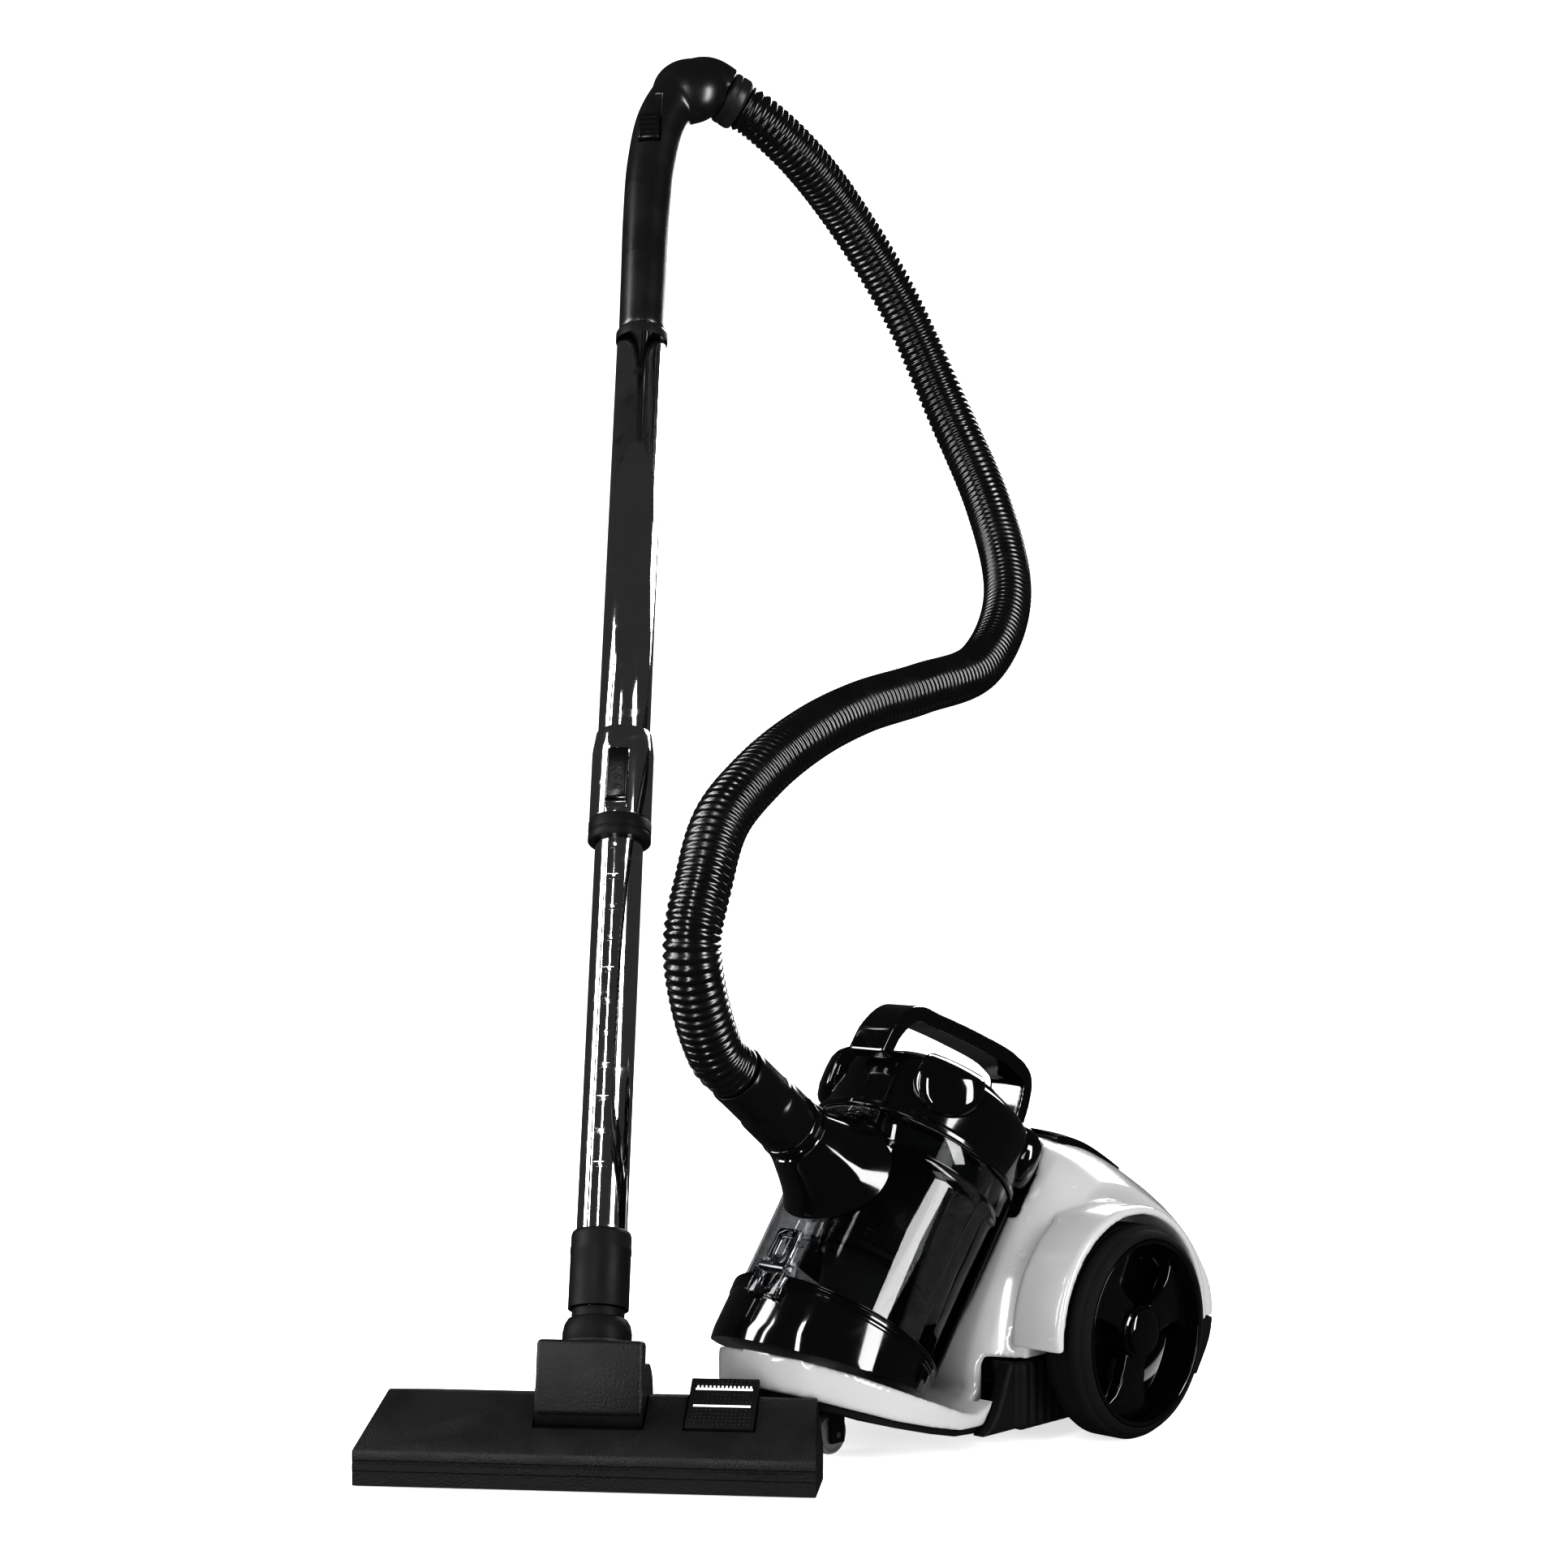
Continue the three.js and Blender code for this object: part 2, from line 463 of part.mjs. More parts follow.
function inlet() {
  const m = inletFrame();
  const b = INLET.bore;
  let fairing = lathe([[b, 50], [37, 50], [37, 66], [33, 82], [25, 100], [22, INLET.ringFrom], [b,
    INLET.ringFrom],
    [b, 50]], SEG, m);
  fairing = fairing.subtract(disc(BIN.radius + 3.2, -20, 124, SEG, BIN_FRAME));
  fairing = fairing.add(ring(b, INLET.bore + 4.4, BIN.radius - 5, BIN.radius + 16, FINE, m));
  part("inlet_fairing", "gloss", fairing.subtract(disc(CAP.skirt + 0.6, CAP.from - 1, 200, SEG,
    BIN_FRAME)));
  part("swivel_ring", "gloss", lathe([[b, INLET.ringFrom + GAP], [INLET.ring - 1, INLET.ringFrom + GAP],
    [INLET.ring, INLET.ringFrom + 3], [INLET.ring, INLET.ringTo - 2], [INLET.ring - 1.5, INLET.ringTo],
    [b, INLET.ringTo], [b, INLET.ringFrom + GAP]], SEG, m));
  part("hose_cuff_canister", "black", lathe([[b, INLET.ringTo + GAP], [INLET.cuff + 1.5,
    INLET.ringTo + GAP],
    [INLET.cuff + 1, 140], [INLET.cuff, INLET.cuffTo - 3], [INLET.cuff - 1, INLET.cuffTo], [b,
      INLET.cuffTo],
    [b, INLET.ringTo + GAP]], SEG, m));
}

// ---- hose: the middle line from the handle down to the bin's inlet ----
const HOSE_ROUTE = [
  [-258, 84, 903], [-258, 139, 864], [-248, 193, 799], [-225, 220, 722], [-175, 212, 638],
  [-122, 168, 565], [-85, 90, 510], [-65, 0, 490], [-50, -80, 475], [-30, -155, 455],
  [-15, -215, 430], [-5, -260, 400], [5, -285, 365], [10, -300, 325],
];

// ---- wand, in the frame of its own axis: local Z up the tube, local -Y to the front ----
const NOZZLE_FRAME = chain(move(NOZZLE.x, NOZZLE.y, 0), turn(0, 0, deg(NOZZLE.turn)));
const WAND_FRAME = chain(NOZZLE_FRAME, move(0, PIVOT.back, PIVOT.z), turn(-deg(WAND.lean), 0, 0),
  turn(0, -deg(WAND.side), 0));

function tubes() {
  const W = WAND_FRAME;
  let lower = ring(LOWER.radius - 1.6, LOWER.radius, LOWER.from, LOWER.to, SEG, W);
  for (let i = 0; i < LOWER.notches; i++) {
    const s = LOWER.notch + i * LOWER.pitch;
    lower = lower.subtract(box(-8, -20, s - 2, 8, -LOWER.radius + 0.7, s + 2, W));
  }
  part("lower_tube", "chrome", lower);
  const u = UPPER.radius;
  part("upper_tube", "chrome", ring(LOWER.radius + GAP, u, COUPLER.from + 20, UPPER.to - 10, SEG, W));
  part("tube_collar", "black", ring(u + GAP, u + 1.6, HANDLE.from, HANDLE.from + 14, SEG, W));
  const k = COUPLER;
  let sleeve = lathe([[u + GAP, k.from], [k.radius, k.from], [k.radius, k.to - 14], [u + 1, k.to],
    [u + GAP, k.to], [u + GAP, k.from]], SEG, W);
  sleeve = sleeve.subtract(box(-7.4, -30, k.from + 3, 7.4, -u - 1, k.to - 18, W));
  part("coupler_sleeve", "chrome", sleeve);
  part("coupler_ring", "black", ring(LOWER.radius + GAP, k.radius + 0.3, k.from - 15, k.from - GAP,
    SEG, W));
  part("coupler_button", "gloss", rounded(-7, -23.5, k.from + 10, 7, -u - 1.3, k.to - 19, 1.5, W));
  part("wand_cuff", "black", lathe([[LOWER.radius + GAP, CUFF.from + 6], [CUFF.radius, CUFF.from + 6],
    [CUFF.radius, CUFF.to - 3], [CUFF.radius - 1, CUFF.to], [LOWER.radius + GAP, CUFF.to],
    [LOWER.radius + GAP, CUFF.from + 6]], SEG, W));
}

const GRIP_LINE = [[0, 0, 760.4], [0, 0, 805], [0, 0, 860], [2, 0, 906], [9, 1, 946],
  [24, 6, 974], [38, 12, 983], [50, 19, 978]];

function grip() {
  const bar = placed(sweep(GRIP_LINE, HANDLE.radius, 12, 16), WAND_FRAME);
  const elbow = solid(new THREE.SphereGeometry(1, 14, 9), chain(WAND_FRAME, move(28, 0, 976),
    new THREE.Matrix4().makeScale(26, 19, 26)));
  let s = bar.add(elbow);
  const slot = box(-6, -40, SLIDE.from, 8, -13.6, SLIDE.from + SLIDE.depth, WAND_FRAME);
  s = s.subtract(slot);
  part("wand_handle", "black", s);
  part("suction_slider", "gloss", rounded(-5.4, -19, SLIDE.from + 1, 7.4, -14, SLIDE.from + 22, 2,
    WAND_FRAME));
  const end = v3(...GRIP_LINE.at(-1));
  const dir = end.clone().sub(v3(...GRIP_LINE.at(-2))).normalize();
  const q = new THREE.Matrix4().makeRotationFromQuaternion(new THREE.Quaternion()
    .setFromUnitVectors(v3(0, 0, 1), dir));
  const m = chain(WAND_FRAME, move(end.x, end.y, end.z), q);
  part("hose_cuff_handle", "grey", lathe([[0, 0.4], [18, 0.4], [20, 3], [20, 13], [18.6, CUFF_END], [0,
    CUFF_END]], FINE, m));
  return [CUFF_END + GAP, CUFF_END + 14].map((z) => v3(0, 0, z).applyMatrix4(m));
}

function hose(start) {
  const end = v3(0, 0, INLET.cuffTo + GAP).applyMatrix4(inletFrame());
  const near = v3(0, 0, INLET.cuffTo + 22).applyMatrix4(inletFrame());
  const route = [...start.map((p) => p.toArray()), ...HOSE_ROUTE, near.toArray(), end.toArray()];
  part("hose", "black", sweep(route, HOSE.radius, HOSE.sides, HOSE.steps));
  return route;
}

// ---- floor tool, in its own frame: local X along it, local +Y to its back ----
const SLOPE = Math.atan2(NOZZLE.top - NOZZLE.front, 44);
const BRUSH_PEDAL = { x: 80, half: 21, from: 24, to: 66 };
const DRUM = { radius: 23, half: 33 };

function floorTool() {
  const F = NOZZLE_FRAME;
  const { half, deep, endDeep, front, top } = NOZZLE;
  const section = [[0, 3.4], [0, front], [44, top], [deep - 8, top - 4], [deep, 30], [deep, 3.4]];
  let s = placed(sideExtrude(sideShape(section, false), -half, half), F);
  const plan = new THREE.Shape([v2(-half - 1, -1), v2(half + 1, -1), v2(half + 1, endDeep), v2(86,
    deep + 1),
    v2(-86, deep + 1), v2(-half - 1, endDeep)]);
  s = s.intersect(solid(new THREE.ExtrudeGeometry(plan, { depth: 80, bevelEnabled: false }), F));
  for (const x of [-1, 1]) {
    s = s.subtract(box(0, -100, 0, 60, 200, 60, chain(F, move(x * half, 0, front), turn(0,
      -x * deg(23), 0),
      move(x > 0 ? 0 : -60, 0, 0))));
  }
  s = s.subtract(disc(DRUM.radius + 1.2, -DRUM.half - 1.2, DRUM.half + 1.2, SEG, chain(F, across(0,
    PIVOT.back, PIVOT.z))));
  s = s.subtract(box(-DRUM.half - 1.2, -1, PIVOT.z - 12, DRUM.half + 1.2, PIVOT.back, 90, F));
  s = s.subtract(box(-DRUM.half - 1.2, PIVOT.back, PIVOT.z, DRUM.half + 1.2, 200, 90, F));
  s = s.subtract(box(-26, PIVOT.back, 22, 26, 200, 90, F));
  s = s.subtract(box(-120, 10, -1, 120, 28, 14, F)).subtract(box(-12, 10, -1, 12, 50, 24, F));
  s = s.subtract(box(-112, 33, -1, 112, 40, 15, F));
  const tilt = chain(F, move(BRUSH_PEDAL.x, 0, front), turn(SLOPE, 0, 0));
  const b = BRUSH_PEDAL;
  s = s.subtract(box(-b.half - 1, b.from - 1, -9, b.half + 1, b.to + 1, 20, tilt));
  for (const x of [-60, 60]) s = s.subtract(box(x - 6.5, 54, -1, x + 6.5, 78, 20, F));
  part("nozzle_body", "black", s);
  const heel = box(-b.half + 3, b.to - 16, -8, b.half - 3, b.to - 4, -3, tilt);
  part("brush_pedal", "black", rounded(-b.half, b.from, -3.5, b.half, b.to, 2.5, 2, tilt).add(heel));
  part("brush_strip", "black", box(-110, 34, 0.6, 110, 39, 9, F));
  let sole = box(-half + 4, 4, 0, half - 4, 46, 3, F);
  sole = sole.subtract(box(-118, 12, -1, 118, 26, 5, F)).subtract(box(-112, 33, -1, 112, 40, 5, F));
  part("nozzle_sole", "steel", sole);
  for (const [name, x] of [["right", -60], ["left", 60]]) {
    part(`nozzle_roller_${name}`, "grey", lathe([[0, -6.2], [2, -6.2], [2, -5], [8.5, -5], [9, -4.5],
      [9, 4.5], [8.5, 5], [2, 5], [2, 6.2], [0, 6.2]], FINE, chain(F, across(x, 66, 9))));
  }
}

function neck() {
  const F = NOZZLE_FRAME;
  const drumM = chain(F, across(0, PIVOT.back, PIVOT.z));
  let drum = disc(DRUM.radius, -DRUM.half, DRUM.half, SEG, drumM);
  const plate = rounded(-DRUM.half, -6, -5, DRUM.half, 8, 40, 4,
    chain(F, move(0, PIVOT.back - DRUM.radius + 5, PIVOT.z), turn(-deg(WAND.lean) / 2, 0, 0)));
  drum = drum.add(plate).add(disc(24, 0, 34, SEG, WAND_FRAME));
  drum = drum.subtract(disc(17.3, 8, 80, SEG, WAND_FRAME)).subtract(disc(22.4, 30, 90, SEG, WAND_FRAME));
  drum = drum.subtract(disc(12, -60, 20, FINE, chain(F, move(0, PIVOT.back, PIVOT.z))));
  part("neck_housing", "black", drum);
  part("neck_elbow", "black", lathe([[12, 9], [17, 9], [17, 31], [21, 31], [21.5, 42], [20, 48], [16.5,
    50],
    [16.5, 55.7], [12, 55.7], [12, 9]], SEG, WAND_FRAME));
}

// ---- assembly ----
part("body_shell", "white", bodyShell());
part("lower_chassis", "black", lowerChassis());
part("tongue_plate", "black", tonguePlate());
for (const side of [1, -1]) wheel(side);
caster();
insides();
pedalsAndCover();
bin();
latch();
cap();
carryHandle();
inlet();
tubes();
hose(grip());
floorTool();
neck();

// The origin is the middle of the floor under the whole object, the free hose aside.
const bounds = new THREE.Box3();
for (const mesh of root.children) {
  if (mesh.name !== "hose") bounds.expandByObject(mesh);
}
const centre = bounds.getCenter(v3());
root.position.set(-centre.x, -centre.y, -bounds.min.z);

export default root;
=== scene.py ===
# %% [markdown]
# A canister vacuum cleaner, finished piece by piece.
# The engineering model is loaded first and never moves: it says where every body is and how far it turns.
# Everything after that adds the look of the real machine: gloss shells, chrome tubes, a ribbed hose.

# %% Load the engineering model
import math
import random

import bmesh
import bpy
from mathutils import Matrix, Vector


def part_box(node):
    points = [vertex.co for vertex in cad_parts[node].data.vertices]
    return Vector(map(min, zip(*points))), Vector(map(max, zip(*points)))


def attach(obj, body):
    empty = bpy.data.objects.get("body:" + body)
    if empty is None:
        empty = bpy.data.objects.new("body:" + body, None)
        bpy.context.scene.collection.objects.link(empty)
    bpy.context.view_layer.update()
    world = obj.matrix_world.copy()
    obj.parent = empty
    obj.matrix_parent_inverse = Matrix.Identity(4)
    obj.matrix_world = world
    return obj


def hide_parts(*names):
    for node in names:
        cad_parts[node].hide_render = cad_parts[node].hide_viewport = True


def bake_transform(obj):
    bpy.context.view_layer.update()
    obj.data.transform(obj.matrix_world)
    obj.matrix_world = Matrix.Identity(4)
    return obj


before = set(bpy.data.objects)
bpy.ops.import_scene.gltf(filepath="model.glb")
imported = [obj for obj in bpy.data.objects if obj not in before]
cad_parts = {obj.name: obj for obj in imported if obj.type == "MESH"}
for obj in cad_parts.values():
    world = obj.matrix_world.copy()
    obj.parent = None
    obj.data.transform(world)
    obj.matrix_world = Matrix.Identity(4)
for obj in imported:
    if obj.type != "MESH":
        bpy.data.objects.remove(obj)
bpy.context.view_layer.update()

# %% [markdown]
# Makers draw each group of parts in its own frame, with the origin where it matters.
# Here the canister's origin is on the floor between the wheels, and lengths are in millimetres.
# Each frame below turns millimetres in that group into metres in the model.

# %% Frames of the canister, the bin, the floor tool and the wand
def shifted(x, y, z):
    return Matrix.Translation((x, y, z))


def turned(degrees, axis):
    return Matrix.Rotation(math.radians(degrees), 4, axis)


left_low, left_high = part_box("tyre_left")
right_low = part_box("tyre_right")[0]
axle_x = (left_high.x + right_low.x) / 2
axle_y = (left_low.y + left_high.y) / 2
CANISTER = shifted(axle_x, axle_y, 0) @ Matrix.Scale(0.001, 4)
BIN = CANISTER @ shifted(0, -163, 76) @ turned(-37, "X")
INLET = BIN @ shifted(0, 0, 83) @ turned(90, "X")
FLOOR_TOOL = CANISTER @ shifted(-38, -345, 0) @ turned(36.95, "Z")
PIVOT = FLOOR_TOOL @ shifted(0, 44, 46)
WAND = PIVOT @ turned(-22.8, "X") @ turned(-1.25, "Y")
grip_end, grip_before = Vector((50, 19, 978)), Vector((38, 12, 983))
grip_turn = Vector((0, 0, 1)).rotation_difference(grip_end - grip_before).to_matrix().to_4x4()
HOSE_CUFF = WAND @ shifted(*grip_end) @ grip_turn
print("axle middle:", round(axle_x, 4), round(axle_y, 4))

# %% [markdown]
# The camera stands low and in front of the machine's left corner, with a long lens.
# A long lens from far off keeps upright tubes straight, as product pictures like to show them.

# %% The camera
camera_data = bpy.data.cameras.new("product_camera")
camera_data.lens = 65.22
camera_data.sensor_width = 36
camera = bpy.data.objects.new("product_camera", camera_data)
camera.location = (1.2976, -1.3728, 0.424)
camera.rotation_euler = Vector((-0.6820, 0.7314, 0)).to_track_quat("-Z", "Y").to_euler()
bpy.context.scene.collection.objects.link(camera)
bpy.context.scene.camera = camera

# %% [markdown]
# A material group is a small machine with named inputs and outputs, built once and used many times.
# The first one gives the slow, cloudy change of shine that every handled surface has.
# The second one is the fine pebbled grain of a moulded matt plastic part.
# The third one is faint hairline scratches, which show only in the shine.

# %% Groups shared by the finishes
def new_group(name, inputs, outputs):
    group = bpy.data.node_groups.new(name, "ShaderNodeTree")
    for label, value in inputs:
        socket = group.interface.new_socket(label, in_out="INPUT", socket_type="NodeSocketFloat")
        socket.default_value = value
    for label in outputs:
        group.interface.new_socket(label, in_out="OUTPUT", socket_type="NodeSocketFloat")
    start = group.nodes.new("NodeGroupInput")
    end = group.nodes.new("NodeGroupOutput")
    return group, start, end


def add_noise(tree, source, scale_socket, detail):
    noise = tree.nodes.new("ShaderNodeTexNoise")
    noise.inputs["Detail"].default_value = detail
    tree.links.new(source.outputs["Object"], noise.inputs["Vector"])
    tree.links.new(scale_socket, noise.inputs["Scale"])
    return noise


def cloudy_shine_group():
    group, start, end = new_group("cloudy_shine", [("Scale", 30), ("Low", 0.1), ("High", 0.2)],
                                  ["Roughness"])
    place = group.nodes.new("ShaderNodeTexCoord")
    noise = add_noise(group, place, start.outputs["Scale"], 5)
    fit = group.nodes.new("ShaderNodeMapRange")
    fit.inputs["From Min"].default_value = 0.35
    fit.inputs["From Max"].default_value = 0.65
    group.links.new(noise.outputs["Fac"], fit.inputs["Value"])
    group.links.new(start.outputs["Low"], fit.inputs["To Min"])
    group.links.new(start.outputs["High"], fit.inputs["To Max"])
    group.links.new(fit.outputs["Result"], end.inputs["Roughness"])
    return group


def moulded_grain_group():
    group, start, end = new_group("moulded_grain", [("Scale", 1500), ("Pebble", 0.6)], ["Height"])
    place = group.nodes.new("ShaderNodeTexCoord")
    noise = add_noise(group, place, start.outputs["Scale"], 3)
    cells = group.nodes.new("ShaderNodeTexVoronoi")
    group.links.new(place.outputs["Object"], cells.inputs["Vector"])
    group.links.new(start.outputs["Scale"], cells.inputs["Scale"])
    mix = group.nodes.new("ShaderNodeMix")
    group.links.new(start.outputs["Pebble"], mix.inputs["Factor"])
    group.links.new(noise.outputs["Fac"], mix.inputs["A"])
    group.links.new(cells.outputs["Distance"], mix.inputs["B"])
    group.links.new(mix.outputs["Result"], end.inputs["Height"])
    return group


def hairlines_group():
    group, start, end = new_group("hairlines", [("Scale", 60), ("Amount", 0.1)], ["Value"])
    place = group.nodes.new("ShaderNodeTexCoord")
    stretch = group.nodes.new("ShaderNodeMapping")
    stretch.inputs["Scale"].default_value = (1, 0.06, 1)
    stretch.inputs["Rotation"].default_value = (0.4, 0.3, 0.7)
    group.links.new(place.outputs["Object"], stretch.inputs["Vector"])
    noise = group.nodes.new("ShaderNodeTexNoise")
    noise.inputs["Detail"].default_value = 6
    group.links.new(stretch.outputs["Vector"], noise.inputs["Vector"])
    group.links.new(start.outputs["Scale"], noise.inputs["Scale"])
    keep = group.nodes.new("ShaderNodeMapRange")
    keep.inputs["From Min"].default_value = 0.6
    keep.inputs["From Max"].default_value = 0.72
    group.links.new(noise.outputs["Fac"], keep.inputs["Value"])
    scale = group.nodes.new("ShaderNodeMath")
    scale.operation = "MULTIPLY"
    group.links.new(keep.outputs["Result"], scale.inputs[0])
    group.links.new(start.outputs["Amount"], scale.inputs[1])
    group.links.new(scale.outputs["Value"], end.inputs["Value"])
    return group


CLOUDY_SHINE, MOULDED_GRAIN, HAIRLINES = cloudy_shine_group(), moulded_grain_group(), hairlines_group()
print("groups:", [g.name for g in (CLOUDY_SHINE, MOULDED_GRAIN, HAIRLINES)])

# %% [markdown]
# One helper places these groups in a finish: a colour that drifts a little, a shine that clouds,
# hairlines on top of it, and a grain that lifts the surface by a few hundredths of a millimetre.
# Numbers that stay the same over the surface go straight on the shader's own sockets.

# %% A helper that mixes a finish
def use_group(tree, group, **values):
    node = tree.nodes.new("ShaderNodeGroup")
    node.node_tree = group
    for label, value in values.items():
        node.inputs[label].default_value = value
    return node


def finish_of(name, colour, shine, grain=None, drift=0.9, scratches=0.05, metallic=0.0, **fixed):
    material = bpy.data.materials.new(name)
    material.use_nodes = True
    tree = material.node_tree
    shader = tree.nodes["Principled BSDF"]
    shader.inputs["Metallic"].default_value = metallic
    for label, value in fixed.items():
        shader.inputs[label.replace("_", " ")].default_value = value
    place = tree.nodes.new("ShaderNodeTexCoord")
    cloud = tree.nodes.new("ShaderNodeTexNoise")
    cloud.inputs["Scale"].default_value = 22
    cloud.inputs["Detail"].default_value = 4
    tree.links.new(place.outputs["Object"], cloud.inputs["Vector"])
    tint = tree.nodes.new("ShaderNodeMix")
    tint.data_type = "RGBA"
    tint.inputs["A"].default_value = (*colour, 1)
    tint.inputs["B"].default_value = (*[c * drift for c in colour], 1)
    tree.links.new(cloud.outputs["Fac"], tint.inputs["Factor"])
    tree.links.new(tint.outputs["Result"], shader.inputs["Base Color"])
    low, high = shine
    cloudy = use_group(tree, CLOUDY_SHINE, Scale=35.0, Low=low, High=high)
    lines = use_group(tree, HAIRLINES, Scale=90.0, Amount=scratches)
    add = tree.nodes.new("ShaderNodeMath")
    tree.links.new(cloudy.outputs["Roughness"], add.inputs[0])
    tree.links.new(lines.outputs["Value"], add.inputs[1])
    tree.links.new(add.outputs["Value"], shader.inputs["Roughness"])
    if grain:
        size, pebble, strength, depth = grain
        height = use_group(tree, MOULDED_GRAIN, Scale=size, Pebble=pebble)
        bump = tree.nodes.new("ShaderNodeBump")
        bump.inputs["Strength"].default_value = strength
        bump.inputs["Distance"].default_value = depth
        tree.links.new(height.outputs["Height"], bump.inputs["Height"])
        tree.links.new(bump.outputs["Normal"], shader.inputs["Normal"])
    return material


WHITE = finish_of("gloss_white", (0.30, 0.30, 0.303), (0.16, 0.26), (55, 0.0, 0.05, 0.0004), drift=0.97,
                  Coat_Weight=0.6, Coat_Roughness=0.06)
PIANO = finish_of("piano_black", (0.0025, 0.0025, 0.003), (0.05, 0.12), (70, 0.0, 0.04, 0.0003),
                  Coat_Weight=0.5, Coat_Roughness=0.03)
MATT = finish_of("moulded_black", (0.008, 0.008, 0.0085), (0.42, 0.58), (1500, 0.55, 0.35, 0.0002),
                 Specular_IOR_Level=0.16)
TEXTURED = finish_of("textured_black", (0.008, 0.008, 0.0085), (0.38, 0.55), (900, 0.75, 0.7, 0.0003),
                     Specular_IOR_Level=0.4)
SATIN = finish_of("satin_black", (0.004, 0.004, 0.004), (0.16, 0.28), (1100, 0.3, 0.2, 0.0001))
GRIP = finish_of("grip_black", (0.005, 0.005, 0.005), (0.24, 0.34), (1100, 0.3, 0.25, 0.0001),
                 Specular_IOR_Level=0.9)
TYRE = finish_of("wheel_rubber", (0.008, 0.008, 0.008), (0.6, 0.8), (700, 0.4, 0.5, 0.0003),
                 Specular_IOR_Level=0.12)
RIBBED = finish_of("flexible_black", (0.004, 0.004, 0.0045), (0.16, 0.28), (800, 0.2, 0.2, 0.0001),
                   Specular_IOR_Level=0.7)
CHROME = finish_of("bright_chrome", (0.78, 0.78, 0.79), (0.03, 0.09), None, drift=0.96, scratches=0.12,
                   metallic=1.0)
GREY = finish_of("pale_grey", (0.15, 0.152, 0.155), (0.35, 0.5), (1200, 0.4, 0.25, 0.0001))
CUFF_GREY = finish_of("cuff_grey", (0.01, 0.01, 0.0105), (0.3, 0.42), (1200, 0.4, 0.25, 0.0001))
STEEL = finish_of("plain_steel", (0.55, 0.55, 0.56), (0.25, 0.4), (300, 0.0, 0.15, 0.0001), metallic=1.0)
SOFT = finish_of("seal_rubber", (0.03, 0.03, 0.03), (0.6, 0.75), (900, 0.4, 0.3, 0.0002))
MARK = finish_of("pale_print", (0.8, 0.8, 0.8), (0.3, 0.4), (800, 0.2, 0.1, 0.0001), drift=0.95)
print("finishes:", len(bpy.data.materials))

# %% [markdown]
# Smoked plastic is a glass with a dark tint: light loses a share of itself at every wall.
# Foam and bristle are rough and full of small shadows, so their grain is deep.

# %% Clear plastics, filter foam and bristle
def clear_plastic(name, colour, roughness):
    material = finish_of(name, colour, roughness, (40, 0.0, 0.03, 0.0003), drift=0.96, scratches=0.03)
    shader = material.node_tree.nodes["Principled BSDF"]
    shader.inputs["Transmission Weight"].default_value = 1.0
    shader.inputs["IOR"].default_value = 1.46
    return material


SMOKED = clear_plastic("smoked_plastic", (0.28, 0.285, 0.29), (0.02, 0.05))
CLEAR = clear_plastic("clear_grey_plastic", (0.16, 0.17, 0.18), (0.04, 0.1))
FOAM = finish_of("open_foam", (0.12, 0.14, 0.16), (0.85, 0.95), (500, 0.9, 1.0, 0.001))
BRISTLE = finish_of("black_bristle", (0.03, 0.03, 0.03), (0.6, 0.8), (2200, 0.6, 1.0, 0.001))

# %% [markdown]
# Every new piece goes through the same last step: it gets a finish, a fine rounded edge,
# a body to ride on, and the plain pieces that it stands for are hidden.

# %% The last step of every piece
def piece_of(name, solid, body, finish, stands_for=(), edge=0.4, where=None):
    if where is not None:
        solid.transform(where)
    mesh = bpy.data.meshes.new(name)
    solid.to_mesh(mesh)
    solid.free()
    mesh.polygons.foreach_set("use_smooth", [True] * len(mesh.polygons))
    mesh.materials.append(finish)
    made = bpy.data.objects.new(name, mesh)
    bpy.context.scene.collection.objects.link(made)
    if edge:
        rounding = made.modifiers.new("fine_edge", "BEVEL")
        rounding.width = edge / 1000
        rounding.segments = 2
        rounding.limit_method = "ANGLE"
        rounding.angle_limit = math.radians(32)
        rounding.harden_normals = True
    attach(made, body)
    if stands_for:
        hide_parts(*([stands_for] if isinstance(stands_for, str) else stands_for))
    return made


# %% [markdown]
# Most of this machine is turned, so the main tool is a lathe.
# A few corners drawn as (radius, height) are spun round the axis, and the seam and poles are merged.

# %% A lathe, a block and a plate
def lathe(corners, steps=96):
    solid = bmesh.new()
    points = [solid.verts.new((r, 0, z)) for r, z in corners]
    lines = [solid.edges.new(pair) for pair in zip(points, points[1:])]
    bmesh.ops.spin(solid, geom=points + lines, cent=(0, 0, 0), axis=(0, 0, 1), angle=math.tau,
                   steps=steps, use_merge=True)
    bmesh.ops.remove_doubles(solid, verts=solid.verts, dist=0.001)
    bmesh.ops.recalc_face_normals(solid, faces=solid.faces)
    return solid


def block(x0, y0, z0, x1, y1, z1, corner=0.0, segments=3):
    solid = bmesh.new()
    middle = shifted((x0 + x1) / 2, (y0 + y1) / 2, (z0 + z1) / 2)
    bmesh.ops.create_cube(solid, size=1, matrix=middle @ Matrix.Diagonal((x1 - x0, y1 - y0, z1 - z0, 1)))
    if corner:
        bmesh.ops.bevel(solid, geom=list(solid.edges), offset=corner, segments=segments, profile=0.5,
                        affect="EDGES", material=-1)
    return solid


